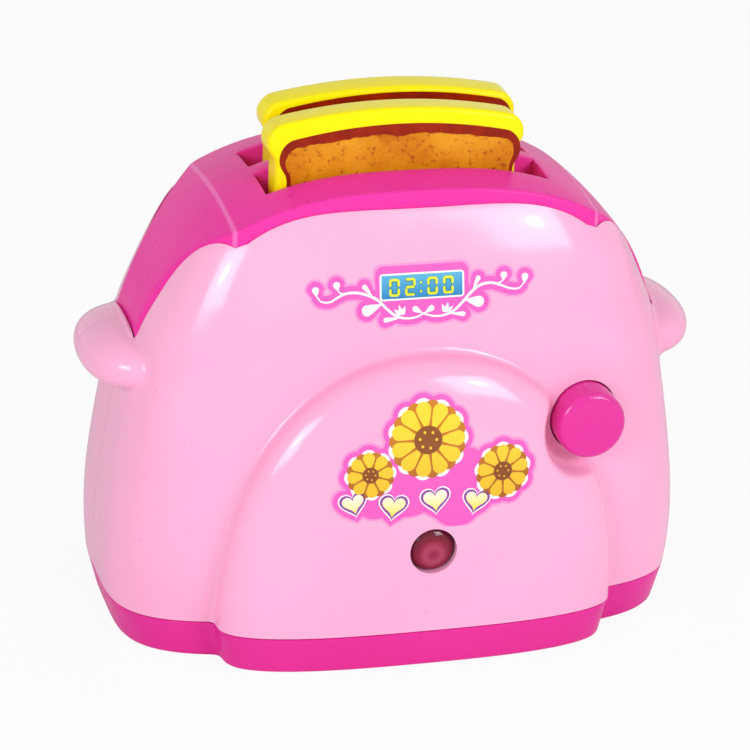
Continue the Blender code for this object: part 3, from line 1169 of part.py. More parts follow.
def main():
    clear_scene()
    housing("housing_front", -1)
    housing("housing_rear", 1)
    make_cover()
    make_base()
    make_door()
    make_slice("slice_front", True)
    make_slice("slice_rear", False)
    make_carriage()
    make_rods_and_springs()
    make_button()
    make_finger()
    make_lamp()
    make_cells()
    make_switch()
    for k, (x, y) in enumerate(corner_places()):
        seat = CORNER_WELL_DEPTH - FIT
        make_screw(f"base_screw_{k + 1}", (x, y, 0), (0, 0, 1), seat, length=CORNER_SCREW_LENGTH)
    for name, side in (("left", -1), ("right", 1)):
        centre = (side * JOIN_X, JOIN_HEAD_Y + FIT, JOIN_Z)
        make_screw("rear_screw_" + name, centre, (0, -1, 0), 0, length=JOIN_SCREW_LENGTH)


main()
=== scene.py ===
# %% [markdown]
# # Dressing a toy bread machine
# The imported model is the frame: it says where every piece is and how it moves.
# This lesson builds the visible mouldings again with smooth surfaces, soft edges and printed stickers.
# All shapes are made in millimetres, because the real toy is drawn so, and turned to metres at the end.

# %% Load the frame
from math import cos, pi, radians, sin, sqrt, tan

import bmesh
import bpy
import numpy as np
from mathutils import Matrix, Vector
from mathutils.bvhtree import BVHTree


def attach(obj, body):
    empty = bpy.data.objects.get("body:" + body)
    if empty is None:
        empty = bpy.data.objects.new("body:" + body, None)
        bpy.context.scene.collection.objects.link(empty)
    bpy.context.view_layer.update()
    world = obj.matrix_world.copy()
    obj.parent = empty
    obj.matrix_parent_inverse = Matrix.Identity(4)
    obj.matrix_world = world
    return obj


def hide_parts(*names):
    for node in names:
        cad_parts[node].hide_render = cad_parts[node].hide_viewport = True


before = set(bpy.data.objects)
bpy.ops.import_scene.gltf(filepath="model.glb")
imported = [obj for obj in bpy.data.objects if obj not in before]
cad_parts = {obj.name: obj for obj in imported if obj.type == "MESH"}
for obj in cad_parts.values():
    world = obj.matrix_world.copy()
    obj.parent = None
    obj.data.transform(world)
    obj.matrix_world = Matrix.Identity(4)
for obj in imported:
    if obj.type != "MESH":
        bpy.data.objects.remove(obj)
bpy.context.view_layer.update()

MM = 0.001

# %% [markdown]
# ## Small workshop helpers
# A shape starts as a bmesh, becomes an object, and is cut or joined with Boolean modifiers.
# The modifiers are baked at once, so each step can be measured, and the next one starts clean.

# %% Objects from bmeshes
def as_object(form, name="blank", closed=False):
    """Turns a bmesh into an object, still in millimetres; a closed form's faces are turned outward first."""
    if closed:
        bmesh.ops.recalc_face_normals(form, faces=form.faces)
    mesh = bpy.data.meshes.new(name)
    form.to_mesh(mesh)
    form.free()
    obj = bpy.data.objects.new(name, mesh)
    bpy.context.scene.collection.objects.link(obj)
    return obj


def bake(obj):
    """Applies the object's modifiers to its mesh."""
    bpy.context.view_layer.update()
    graph = bpy.context.evaluated_depsgraph_get()
    baked = bpy.data.meshes.new_from_object(obj.evaluated_get(graph))
    obj.modifiers.clear()
    spare = obj.data
    obj.data = baked
    bpy.data.meshes.remove(spare)
    return obj


def merge(obj, operation, tools):
    """Joins or cuts obj with each tool in turn, then throws the tools away."""
    for tool in tools:
        step = obj.modifiers.new(operation.lower(), "BOOLEAN")
        step.operation = operation
        step.solver = "MANIFOLD"
        step.object = tool
    bake(obj)
    for tool in tools:
        bpy.data.objects.remove(tool, do_unlink=True)
    return obj


def second_skin(form):
    """Extrudes all faces into a second layer and gives the new points, to be moved."""
    made = bmesh.ops.extrude_face_region(form, geom=form.faces[:])["geom"]
    return [part for part in made if isinstance(part, bmesh.types.BMVert)]


# %% Rings, stacks and turned shapes
def ring(form, points):
    """A closed ring of edges through the points."""
    made = bmesh.ops.create_circle(form, cap_ends=False, radius=1, segments=len(points))["verts"]
    for vert, point in zip(made, points):
        vert.co = point
    return list({edge for vert in made for edge in vert.link_edges})


def stack(rings, name="blank"):
    """A solid through rings of as many points, flat at both ends."""
    form = bmesh.new()
    loops = [ring(form, points) for points in rings]
    for low, high in zip(loops, loops[1:]):
        bmesh.ops.bridge_loops(form, edges=low + high)
    for end in (loops[0], loops[-1]):
        bmesh.ops.holes_fill(form, edges=end)
    return as_object(form, name, closed=True)


def turned(profile, centre, axis, steps=64, name="blank"):
    """Spins (place along the axis, radius) pairs once round the axis."""
    form = bmesh.new()
    along = Vector(axis)
    across = along.orthogonal().normalized()
    points = [Vector(centre) + along * place + across * radius for place, radius in profile]
    verts = [form.verts.new(point) for point in points]
    edges = [form.edges.new(pair) for pair in zip(verts, verts[1:])]
    bmesh.ops.spin(form, geom=verts + edges, cent=centre, axis=along, angle=2 * pi, steps=steps,
                   use_merge=True)
    bmesh.ops.remove_doubles(form, verts=form.verts, dist=1e-4)
    return as_object(form, name, closed=True)


def rod(centre, axis, radius, start, end, steps=48):
    """A cylinder round an axis, as a bore or a post."""
    return turned([(start, 0), (start, radius), (end, radius), (end, 0)], centre, axis, steps)


def bore(x, z, radius, start, end, steps=48, facing=-1):
    """A rod along the depth, towards the front or the rear."""
    return rod((x, 0, z), (0, facing, 0), radius, start, end, steps)


def post(x, y, radius, low, high, steps=48):
    """An upright rod."""
    return rod((x, y, 0), (0, 0, 1), radius, low, high, steps)


def block(low, high):
    """A box between two corners."""
    form = bmesh.new()
    bmesh.ops.create_cube(form, size=1)
    low, high = Vector(low), Vector(high)
    bmesh.ops.scale(form, vec=high - low, verts=form.verts)
    bmesh.ops.translate(form, vec=(low + high) / 2, verts=form.verts)
    return as_object(form)


# %% [markdown]
# ## Camera
# The camera was fitted to the photograph: a long lens, a little above, to the left of the front.
# Its place follows from two angles, a roll and a distance, so one number changes one thing.

# %% Camera
FOCAL_PIXELS, IMAGE_PIXELS, SENSOR = 3307.334, 750, 36.0
AZIMUTH, ELEVATION, ROLL = radians(-16.363), radians(22.664), radians(2.489)
DISTANCE, SHIFT_RIGHT, SHIFT_UP = 708.665, -1.633, -0.973
AIM = Vector((0, 0, 50))

back = Vector((sin(AZIMUTH) * cos(ELEVATION), -cos(AZIMUTH) * cos(ELEVATION), sin(ELEVATION)))
level = (-back).cross(Vector((0, 0, 1))).normalized()
upright = level.cross(-back)
right = level * cos(ROLL) + upright * sin(ROLL)
up = upright * cos(ROLL) - level * sin(ROLL)
place = AIM + right * SHIFT_RIGHT + up * SHIFT_UP + back * DISTANCE

lens = bpy.data.cameras.new("camera")
lens.sensor_width = SENSOR
lens.lens = FOCAL_PIXELS / IMAGE_PIXELS * SENSOR
lens.clip_start, lens.clip_end = 0.05, 20
camera = bpy.data.objects.new("camera", lens)
camera.matrix_world = Matrix.Translation(place * MM) @ Matrix((right, up, back)).transposed().to_4x4()
bpy.context.scene.collection.objects.link(camera)
bpy.context.scene.camera = camera
bpy.context.scene.view_settings.view_transform = "Standard"
print("camera at", [round(v, 1) for v in place], "lens", round(lens.lens, 1))

# %% [markdown]
# ## Light and floor
# A product photo on white has an even white surround and two soft lamps, here each with a small
# bright core that leaves a glint.
# The world is a soft grey for light and pure white where the camera, a mirror or glass sees it.
# The floor is white and keeps a weak shadow, because part of it glows for the camera only.

# %% Shader nodes
def plug(tree, node, inputs):
    """Links or sets a node's inputs, by name or place."""
    for socket, value in inputs.items():
        if isinstance(value, bpy.types.NodeSocket):
            tree.links.new(value, node.inputs[socket])
        else:
            node.inputs[socket].default_value = value


def node_of(tree, kind, inputs, **settings):
    """A new shader node with its settings and inputs."""
    node = tree.nodes.new("ShaderNode" + kind)
    for name, value in settings.items():
        setattr(node, name, value)
    plug(tree, node, inputs)
    return node


# %% World
WHITE, AMBIENT = (1, 1, 1, 1), 0.5

world = bpy.data.worlds.new("studio")
world.use_nodes = True
bpy.context.scene.world = world
tree = world.node_tree
ambient = tree.nodes["Background"]
plug(tree, ambient, {"Color": WHITE, "Strength": AMBIENT})
backdrop = node_of(tree, "Background", {"Color": WHITE, "Strength": 1.0})
rays = node_of(tree, "LightPath", {}).outputs
seen = rays["Is Camera Ray"]
for kind in ("Is Glossy Ray", "Is Transmission Ray"):
    seen = node_of(tree, "Math", {0: seen, 1: rays[kind]}, operation="MAXIMUM").outputs[0]
chosen = node_of(tree, "MixShader", {0: seen, 1: ambient.outputs[0], 2: backdrop.outputs[0]})
plug(tree, tree.nodes["World Output"], {"Surface": chosen.outputs[0]})


# %% Lamps
LAMPS = {
    "softbox_left": ((-640, -560, 380), 360, 2.6), "softbox_right": ((420, -640, 420), 360, 2.6),
    "glint_left": ((-630, -550, 375), 60, 0.35), "glint_right": ((413, -630, 414), 60, 0.35),
}
for name, (where, size, watts) in LAMPS.items():
    light = bpy.data.lights.new(name, "AREA")
    light.shape = "SQUARE"
    light.size = size * MM
    light.energy = watts
    obj = bpy.data.objects.new(name, light)
    obj.location = Vector(where) * MM
    obj.rotation_mode = "QUATERNION"
    obj.rotation_quaternion = (AIM - Vector(where)).to_track_quat("-Z", "Y")
    bpy.context.scene.collection.objects.link(obj)
print("lamps", len(LAMPS))

# %% Floor
FLOOR_HALF, FLOOR_GREY, FLOOR_GLOW = 3, 0.95, 0.91

form = bmesh.new()
bmesh.ops.create_grid(form, x_segments=8, y_segments=8, size=FLOOR_HALF)
floor = as_object(form, "floor")
paper = bpy.data.materials.new("floor_paper")
paper.use_nodes = True
tree = paper.node_tree
shader = tree.nodes["Principled BSDF"]
grey = (FLOOR_GREY, FLOOR_GREY, FLOOR_GREY, 1)
plug(tree, shader, {"Base Color": grey, "Roughness": 0.9, "Specular IOR Level": 0.1})
glow = node_of(tree, "Emission", {"Strength": 1.0})
seen = node_of(tree, "LightPath", {}).outputs["Is Camera Ray"]
share = node_of(tree, "Math", {0: seen, 1: FLOOR_GLOW}, operation="MULTIPLY")
blend = node_of(tree, "MixShader", {0: share.outputs[0], 1: shader.outputs[0], 2: glow.outputs[0]})
plug(tree, tree.nodes["Material Output"], {"Surface": blend.outputs[0]})
floor.data.materials.append(paper)

# %% [markdown]
# ## Moulded plastic
# A fold can get a painted highlight: a lighter line where it would catch the light.
# Toy plastic is glossy, lets a little light in, and is never quite even: the mould leaves a fine
# orange peel, the dye drifts a little, and handling dulls the gloss in patches.
# One recipe serves every plastic piece, with its colour and numbers given for each.

# %% Plastic recipe
def linear(code):
    """A web colour code as the linear colour that a shader wants."""
    parts = [int(code[k:k + 2], 16) / 255 for k in (1, 3, 5)]
    return [p / 12.92 if p < 0.04045 else ((p + 0.055) / 1.055) ** 2.4 for p in parts] + [1.0]


def noise_of(tree, place, scale, detail=2.0, rough=0.5):
    values = {"Vector": place, "Scale": scale, "Detail": detail, "Roughness": rough}
    return node_of(tree, "TexNoise", values).outputs["Fac"]


def ramp_of(tree, value, stops):
    """A colour ramp with (place, colour code or grey) stops."""
    node = node_of(tree, "ValToRGB", {"Fac": value})
    steps = node.color_ramp.elements
    while len(steps) < len(stops):
        steps.new(0.5)
    for step, (where, colour) in zip(steps, stops):
        step.position = where
        step.color = linear(colour) if isinstance(colour, str) else (colour, colour, colour, 1)
    return node.outputs["Color"]


def blend_of(tree, share, under, over):
    values = {"Factor": share, "A": under, "B": over}
    return node_of(tree, "Mix", values, data_type="RGBA").outputs["Result"]


def map_of(tree, value, low, high, start=0.0, end=1.0):
    values = {"Value": value, "From Min": low, "From Max": high, "To Min": start, "To Max": end}
    return node_of(tree, "MapRange", values).outputs[0]


def math_of(tree, operation, *values):
    return node_of(tree, "Math", dict(enumerate(values)), operation=operation).outputs[0]


def bump_of(tree, height, distance, under=None):
    values = {"Distance": distance, "Strength": 1.0, "Height": height}
    if under:
        values["Normal"] = under
    return node_of(tree, "Bump", values).outputs["Normal"]


def start_material(name):
    material = bpy.data.materials.new(name)
    material.use_nodes = True
    tree = material.node_tree
    place = tree.nodes.new("ShaderNodeTexCoord").outputs["Object"]
    return material, tree, place, tree.nodes["Principled BSDF"]


# %% Plastics
# DIRT is the colour of real dark specks; the pale pink is a painted highlight for folds.
DIRT, FOLD_HIGHLIGHT = (0.12, 0.03, 0.06, 1), "#FF8CCE"
FOLD_INNER, FOLD_OUTER, FOLD_SHARE = 0.00012, 0.0006, 0.6


def paint_fold_highlight(tree, place, colour, fold):
    """Paints a highlight along the lines x = fold and x = -fold, in metres: a lighter line where the fold
    would catch the light.
    """
    gap = node_of(tree, "SeparateXYZ", {0: place}).outputs["X"]
    gap = math_of(tree, "ABSOLUTE", math_of(tree, "SUBTRACT", math_of(tree, "ABSOLUTE", gap), fold))
    line = map_of(tree, gap, FOLD_INNER, FOLD_OUTER, FOLD_SHARE, 0.0)
    return blend_of(tree, line, colour, linear(FOLD_HIGHLIGHT))


def plastic(name, light, dark, gloss=(0.16, 0.24), soft=0.12, peel=0.00002, specks=0.0, shine=0.5, fold=None):
    """Dyed plastic: drifting colour, specks, handled gloss, orange peel, and a painted highlight along a fold
    if given.
    """
    material, tree, place, shader = start_material(name)
    colour = ramp_of(tree, noise_of(tree, place, 22, 3), [(0.3, dark), (0.7, light)])
    if specks:
        mask = ramp_of(tree, noise_of(tree, place, 950, 2, 0.6), [(0.72, 0.0), (0.78, specks)])
        colour = blend_of(tree, mask, colour, DIRT)
    if fold:
        colour = paint_fold_highlight(tree, place, colour, fold)
    wave = bump_of(tree, noise_of(tree, place, 130, 1), peel * 3)
    plug(tree, shader, {
        "Base Color": colour,
        "Roughness": ramp_of(tree, noise_of(tree, place, 60, 4, 0.6), [(0.35, gloss[0]), (0.75, gloss[1])]),
        "Normal": bump_of(tree, noise_of(tree, place, 1400, 2), peel * 0.3, under=wave),
        "IOR": 1.5, "Specular IOR Level": shine, "Subsurface Weight": soft,
        "Subsurface Radius": (0.004, 0.0015, 0.002), "Subsurface Scale": 0.5,
    })
    return material


pink = plastic("pink_moulding", "#FBB0D4", "#F9A8CE", gloss=(0.12, 0.18), specks=0.4)
# The cover's creases at x = ±38.4 mm get the painted highlight.
cover_magenta = plastic("cover_magenta", "#F63BA7", "#F034A0", gloss=(0.24, 0.34), specks=0.4, shine=0.1,
                        fold=0.0384)
base_magenta = plastic("base_magenta", "#DF2C98", "#D92691", gloss=(0.22, 0.32), shine=0.25)
button_magenta = plastic("button_magenta", "#E02C9C", "#DA2695", gloss=(0.14, 0.2), shine=0.4)
yellow = plastic("slice_yellow", "#FDEE06", "#FBE804", gloss=(0.2, 0.28), shine=0.15)
print("plastics", [made.name for made in (pink, cover_magenta, base_magenta, button_magenta, yellow)])

# %% [markdown]
# ## Body outline
# The body is a soft cushion of a box: level outlines with round corners that shrink to a crown.
# Most numbers repeat the part's own, so the smooth skin lies close to the frame's faces.

# %% Body formula
WALL, SPLIT, FIT = 2.0, 0.3, 0.3
HALF_WIDTH, HALF_DEPTH = 63.6, 33.4
FOOT_Z, CROWN_Z = 7.2, 103.8
RISE_POWER, TURN_POWER, SQUARE_POWER, TAPER = 1.568, 0.237, 4.05, 0.096
BASE_HEIGHT = 8.4
SEAM_Z = BASE_HEIGHT + SPLIT / 2
SWELL, SWELL_Z, SWELL_HIGH, SWELL_DEEP = 1.6, 65, 7, 15
TUCK_TOP, TUCK_SIDE, TUCK_FRONT = 30, 1.4, 2.3


def body_sizes(z, inset):
    """How far up to the crown z lies, as a share, and the half depth there."""
    rise = np.maximum(z - FOOT_Z, 0) / (CROWN_Z - inset - FOOT_Z)
    return rise, (HALF_DEPTH - inset) * (1 - TAPER * rise)


def body_width(y, z, inset):
    """Half width of the body at depth y and height z."""
    rise, depth = body_sizes(z, inset)
    room = np.maximum(1 - (np.abs(y) / depth) ** SQUARE_POWER, 0) ** (1 / SQUARE_POWER)
    share = np.clip(rise / np.maximum(room, 1e-6), 0, 1)
    width = (HALF_WIDTH - inset) * room * (1 - share**RISE_POWER) ** TURN_POWER
    swell = SWELL * 2 ** (-(((z - SWELL_Z) / SWELL_HIGH) ** 2) - (y / SWELL_DEEP) ** 2)
    return np.where(room <= rise, 0, width + swell)


def body_at(angle, z, inset):
    """Points of the level outline at height z, in the directions given by angle."""
    rise, depth = body_sizes(z, inset)
    reach = depth * np.maximum(1 - rise**SQUARE_POWER, 0) ** (1 / SQUARE_POWER)
    width = body_width(np.zeros_like(z), z, inset)
    c, s = np.cos(angle), np.sin(angle)
    dx = width * np.sign(c) * np.abs(c) ** 0.667
    dy = reach * np.sign(s) * np.abs(s) ** 0.667
    near, far = np.zeros_like(z), np.full_like(z, 2.0)
    for _ in range(36):
        middle = (near + far) / 2
        y = dy * middle
        inside = (np.abs(y) < reach) & (np.abs(dx) * middle <= body_width(y, z, inset))
        near, far = np.where(inside, middle, near), np.where(inside, far, middle)
    tuck = (np.maximum(TUCK_TOP - np.maximum(z, BASE_HEIGHT), 0) / (TUCK_TOP - BASE_HEIGHT)) ** 2
    return dx * near * (1 - TUCK_SIDE / HALF_WIDTH * tuck), dy * near * (1 - TUCK_FRONT / HALF_DEPTH * tuck)


# %% Ball shapes
def ball(mapping, segments, rings, name="blank"):
    """A sphere whose vertices are moved by mapping(x, y, z), which takes and gives arrays."""
    form = bmesh.new()
    bmesh.ops.create_uvsphere(form, u_segments=segments, v_segments=rings, radius=1)
    unit = np.array([vert.co for vert in form.verts])
    moved = np.stack(mapping(*unit.T), 1)
    for vert, co in zip(form.verts, moved):
        vert.co = co
    return as_object(form, name, closed=True)


def signed_power(value, exponent):
    return np.sign(value) * np.abs(value) ** exponent


def dome(inset, low=3.0, segments=192, rings=112):
    """The body above its seam; the ball's lower half becomes a straight foot down to low."""
    def mapping(x, y, z):
        angle = np.arctan2(y, x)
        level = SEAM_Z + (CROWN_Z - inset - 0.01 - SEAM_Z) * np.maximum(z, 0)
        px, py = body_at(angle, level, inset)
        tilt = np.arcsin(np.clip(-z, 0, 1)) / (pi / 2)
        shrink = np.clip(2 - 2 * tilt, 0, 1)
        shrink = np.where(z < 0, shrink, 1)
        fall = (SEAM_Z - low) * np.clip(2 * tilt, 0, 1)
        return px * shrink, py * shrink, level - np.where(z < 0, fall, 0)
    return ball(mapping, segments, rings, "dome")


# %% [markdown]
# ## Arch panel and ears
# The arch is a pillow that stands out of the front and runs down into the base.
# The ears are flattened balls. All are balls whose points are moved by a formula. Both stand out a
# hair less than the part's, so that the softened skin stays inside the part's size.

# %% Arch and ears
ARCH_HALF_WIDTH, ARCH_HEIGHT, ARCH_POWER = 42.8, 58.0, 2.2
ARCH_RELIEF, ARCH_EDGE_POWER = 10.88, 2.7
ARCH_BACK_LOW, ARCH_BACK_HIGH = 30.8, 31.6
EAR_X, EAR_Z = 52.7, 59.7
EAR_LENGTH, EAR_DEPTH, EAR_HEIGHT = 13.88, 17.6, 6.7
EAR_POWER, EAR_RISE_POWER = 2.36, 2.29


def arch_back(z):
    """The arch panel leans: how far forward its foot plane stands at height z."""
    return ARCH_BACK_LOW + (ARCH_BACK_HIGH - ARCH_BACK_LOW) * (z - BASE_HEIGHT) / ARCH_HEIGHT


def arch_front(x, z, inset=0.0):
    """How far forward the arch panel's face stands."""
    side = np.abs(x) / (ARCH_HALF_WIDTH - inset)
    rise = np.maximum(z - BASE_HEIGHT, 0) / (ARCH_HEIGHT - inset)
    share = (side**ARCH_POWER + rise**ARCH_POWER) ** (1 / ARCH_POWER)
    relief = np.maximum(1 - share**ARCH_EDGE_POWER, 0) ** (1 / ARCH_EDGE_POWER)
    return arch_back(z) + (ARCH_RELIEF - inset) * relief


def arch(inset, segments=160, rings=96):
    def mapping(x, y, z):
        polar = np.arccos(np.clip(z, -1, 1)) / (pi / 2)
        front = polar <= 1
        share = np.where(front, np.sin(np.minimum(polar, 1) * pi / 2), np.clip(4 - 2 * polar, 0, 1))
        angle = np.arctan2(y, x)
        px = share * (ARCH_HALF_WIDTH - inset) * signed_power(np.cos(angle), 2 / ARCH_POWER)
        pz = BASE_HEIGHT + share * (ARCH_HEIGHT - inset) * signed_power(np.sin(angle), 2 / ARCH_POWER)
        relief = (ARCH_RELIEF - inset) * np.maximum(1 - share**ARCH_EDGE_POWER, 0) ** (1 / ARCH_EDGE_POWER)
        root = 12 * np.clip(2 * (polar - 1), 0, 1)
        return px, -arch_back(pz) - np.where(front, relief, -root), pz
    return ball(mapping, segments, rings, "arch")


def ear(side, inset, segments=128, rings=64):
    def mapping(x, y, z):
        tilt = np.arcsin(np.clip(z, -1, 1))
        angle = np.arctan2(y, x)
        size = np.maximum(np.cos(tilt), 0) ** (2 / EAR_RISE_POWER)
        px = side * EAR_X + (EAR_LENGTH - inset) * size * signed_power(np.cos(angle), 2 / EAR_POWER)
        py = (EAR_DEPTH - inset) * size * signed_power(np.sin(angle), 2 / EAR_POWER)
        return px, py, EAR_Z + (EAR_HEIGHT - inset) * signed_power(np.sin(tilt), 2 / EAR_RISE_POWER)
    return ball(mapping, segments, rings, "ear")


# %% [markdown]
# ## The line of the top cover
# The cover is a bent channel: a curved top, a crease at each end of it, and two side panels that
# narrow down to the rims, closer to the photo's edge than the part's panels do. The same line cuts
# its opening in the housing, a fit larger.

# %% Cover line
COVER_TOP_Z, CREASE_X, CREASE_Z = 100.8, 38.4, 93.4
COVER_POWER, COVER_CROWN, COVER_SKIRT = 2.87, 2.1, 6.5
COVER_HALF_DEPTH, CREASE_HALF_DEPTH, SIDE_HALF_DEPTH, RIM_HALF_DEPTH = 22.6, 21.8, 21.2, 9.9
NARROW_POWER = 2.15
RIM_X, RIM_Z, COVER_BULGE = 56.3, 66.3, 2.6


def cover_top(x):
    """(height, half depth) of the top at x."""
    share = abs(x) / CREASE_X
    z = COVER_TOP_Z - (COVER_TOP_Z - CREASE_Z) * share**COVER_POWER
    return z, COVER_HALF_DEPTH - (COVER_HALF_DEPTH - CREASE_HALF_DEPTH) * share**2


def cover_side(share):
    """(x, z, half depth) of a side panel, from the crease at 0 to the rim at 1."""
    run, fall = RIM_X - CREASE_X, CREASE_Z - RIM_Z
    pull = 2 * COVER_BULGE / sqrt(run**2 + fall**2)
    bend = ((CREASE_X + RIM_X) / 2 + fall * pull, (CREASE_Z + RIM_Z) / 2 + run * pull)
    rest = 1 - share
    x = rest**2 * CREASE_X + 2 * rest * share * bend[0] + share**2 * RIM_X
    z = rest**2 * CREASE_Z + 2 * rest * share * bend[1] + share**2 * RIM_Z
    return x, z, RIM_HALF_DEPTH + (SIDE_HALF_DEPTH - RIM_HALF_DEPTH) * rest**NARROW_POWER


def crown_z(y, z):
    """The cover's height at depth y: it is a little lower towards both edges."""
    return z - COVER_CROWN * (y / COVER_HALF_DEPTH) ** 2


def cover_stations(top_places, side_steps):
    """(x, z, half depth, share) from the left rim to the right rim."""
    side = [cover_side(k / side_steps) + (k / side_steps,) for k in range(side_steps + 1)]
    top = [(x,) + cover_top(x) + (0,) for x in top_places]
    left = [(-x, z, half, share) for x, z, half, share in reversed(side)]
    return left + top + side


def cover_opening():
    """The room in the housing that the cover lies in."""
    stations = cover_stations([CREASE_X * (2 * k / 32 - 1) for k in range(1, 32)], 20)
    form = bmesh.new()
    count = len(stations) - 1
    bmesh.ops.create_grid(form, x_segments=count, y_segments=1, size=1)
    for vert in form.verts:
        x, z, half, _ = stations[round((vert.co.x + 1) / 2 * count)]
        x += FIT * np.sign(x) if abs(x) == RIM_X else 0
        vert.co = (x, np.sign(vert.co.y) * (half + FIT), crown_z(half, z) - COVER_SKIRT - FIT)
    for vert in second_skin(form):
        vert.co.z = CROWN_Z + 5
    return as_object(form, closed=True)


# %% [markdown]
# ## Housing halves
# Dome, arch and ears are one moulding, so they are joined first and remeshed in small cubes.
# That welds the seams between them with the small soft fillets that a real mould has. Smoothing
# takes the stair steps out. Then the rim lips come on, and the half is trimmed, hollowed and bored.

# %% Housing blank
BUTTON_X, BUTTON_Z, BUTTON_FLOOR = 35.2, 49.8, 31.2
RECESS_X, RECESS_Z, RECESS_RADIUS = 35.2, 49.8, 9.3
RECESS_PULL, LIP_REACH, LOW_LEFT = 1.5, 4, Vector((-0.5, -0.866))
VOXEL = 0.6
SOFT_ROUNDS, LIP_ROUNDS = 4, 18
RIM_LIP = ((FIT, 10.2, 0.75), (0.7, 10.0, 0.95), (1.1, 9.6, 0.8), (1.35, 8.8, 0.3))
LIP_SINK, LIP_FOOT = 1.2, 5
AROUND, BELOW, ABOVE, INDOORS, OUTSIDE = 90, -80, 130, 15, 50


def rim_lip(side):
    """The thin low edge of the housing that the cover's end tucks behind."""
    rings = []
    turns = [radians(a) for a in range(-90, 91, 10)]
    for out, half, top in RIM_LIP:
        arc = [(half * sin(a), RIM_Z - LIP_SINK + (top + LIP_SINK) * cos(a)) for a in turns]
        arc += [(half, RIM_Z - LIP_FOOT), (-half, RIM_Z - LIP_FOOT)]
        rings.append([(side * (RIM_X + out), y, z) for y, z in arc])
    return stack(rings, "lip")


def soften(form, verts, rounds):
    for _ in range(rounds):
        bmesh.ops.smooth_vert(form, verts=verts, factor=0.5, use_axis_x=True, use_axis_y=True,
                              use_axis_z=True)


def keep_half(obj, facing, past, low):
    """Cuts off the other half, from past over the middle on, and all below low."""
    near, far = sorted((facing * past, -AROUND * facing))
    return merge(obj, "DIFFERENCE", [block((-AROUND, near, BELOW), (AROUND, far, ABOVE)),
                                     block((-AROUND, -AROUND, BELOW), (AROUND, AROUND, low))])


def soften_recess(form):
    """Rounds the lip of the button's recess, and widens it low on its left, where the toy's is wide."""
    lip = []
    for vert in form.verts:
        away = Vector((vert.co.x - RECESS_X, vert.co.z - RECESS_Z))
        if -vert.co.y < BUTTON_FLOOR + 0.4 or not 7 < away.length < RECESS_RADIUS + LIP_REACH:
            continue
        lip.append(vert)
        fade = min(1, max(0, (away.length - RECESS_RADIUS - 0.2) / 3.6))
        side = max(0, 0.25 + 0.75 * away.normalized().dot(LOW_LEFT))
        shift = away.normalized() * RECESS_PULL * side * (1 - fade * fade * (3 - 2 * fade))
        before = float(arch_front(vert.co.x, vert.co.z))
        after = float(arch_front(vert.co.x + shift.x, vert.co.z + shift.y))
        inward = before - after if abs(before + vert.co.y) < 0.5 else 0
        vert.co += Vector((shift.x, inward, shift.y))
    soften(form, lip, LIP_ROUNDS)


def housing_blank(facing):
    """The outer form of a half, welded and softened, with the cover's opening cut."""
    blank = dome(0)
    parts = [ear(-1, 0), ear(1, 0)]
    if facing < 0:
        parts.append(arch(0))
    merge(blank, "UNION", parts)
    if facing < 0:
        profile = [(BUTTON_FLOOR, 0), (BUTTON_FLOOR, RECESS_RADIUS), (OUTSIDE, RECESS_RADIUS + 0.5),
                   (OUTSIDE, 0)]
        merge(blank, "DIFFERENCE", [turned(profile, (RECESS_X, 0, RECESS_Z), (0, -1, 0))])
    keep_half(blank, facing, -3, 3)
    step = blank.modifiers.new("weld", "REMESH")
    step.mode = "VOXEL"
    step.voxel_size = VOXEL
    bake(blank)
    form = bmesh.new()
    form.from_mesh(blank.data)
    soften(form, form.verts, SOFT_ROUNDS)
    if facing < 0:
        soften_recess(form)
    form.to_mesh(blank.data)
    form.free()
    merge(blank, "UNION", [rim_lip(-1), rim_lip(1)])
    return merge(blank, "DIFFERENCE", [cover_opening()])


# %% Cut, hollow and bore a half
SEAM_GAP = 0.14
JOIN_X, JOIN_Z, JOIN_HEAD_Y, JOIN_DEPTH = 52.5, 37.0, 5.5, 11.5
CORNERS = [(sx * 47.0, sy * 19.4) for sy in (-1, 1) for sx in (-1, 1)]
LENS_X, LENS_Z, LENS_HOLE, LAMP_SCREW_X = 0.3, 26.8, 5.0, 9.5
LAMP_BOSS, LAMP_BOSS_Y, LAMP_PILOT_Y = 2.6, 32.1, 36.5
LATCH_Z, LATCH_BOSS, LATCH_BOSS_Y, LATCH_PILOT_Y = 26, 3.4, 19.4, 25
KNOB_HOLE, FLANGE_WELL, FLANGE_WELL_Y = 7.7, 9.3, 27.4
PILOT, THREAD, HEAD_WELL, BOSS, BOSS_HIGH, THREAD_TOP = 1.0, 1.5, 3.1, 3.7, 16, 22.5


def inside_room(facing):
    """The hollow of a half, less the screw bosses that stand in it."""
    room = dome(WALL, low=-3, segments=72, rings=40)
    parts = [ear(-1, WALL, 40, 20), ear(1, WALL, 40, 20)]
    if facing < 0:
        pocket = arch(WALL, 64, 40)
        merge(pocket, "DIFFERENCE", [bore(RECESS_X, RECESS_Z, RECESS_RADIUS + WALL, 0, OUTSIDE)])
        parts.append(pocket)
    merge(room, "UNION", parts)
    bosses = [post(x, y, BOSS, SEAM_Z + SPLIT, SEAM_Z + SPLIT + BOSS_HIGH) for x, y in CORNERS]
    bosses += [bore(s * JOIN_X, JOIN_Z, BOSS, SPLIT / 2, OUTSIDE, facing=facing) for s in (-1, 1)]
    if facing < 0:
        bosses += [bore(BUTTON_X, LATCH_Z, LATCH_BOSS, LATCH_BOSS_Y, OUTSIDE)]
        bosses += [bore(LENS_X + s * LAMP_SCREW_X, LENS_Z, LAMP_BOSS, LAMP_BOSS_Y, OUTSIDE) for s in (-1, 1)]
    return merge(room, "DIFFERENCE", bosses)


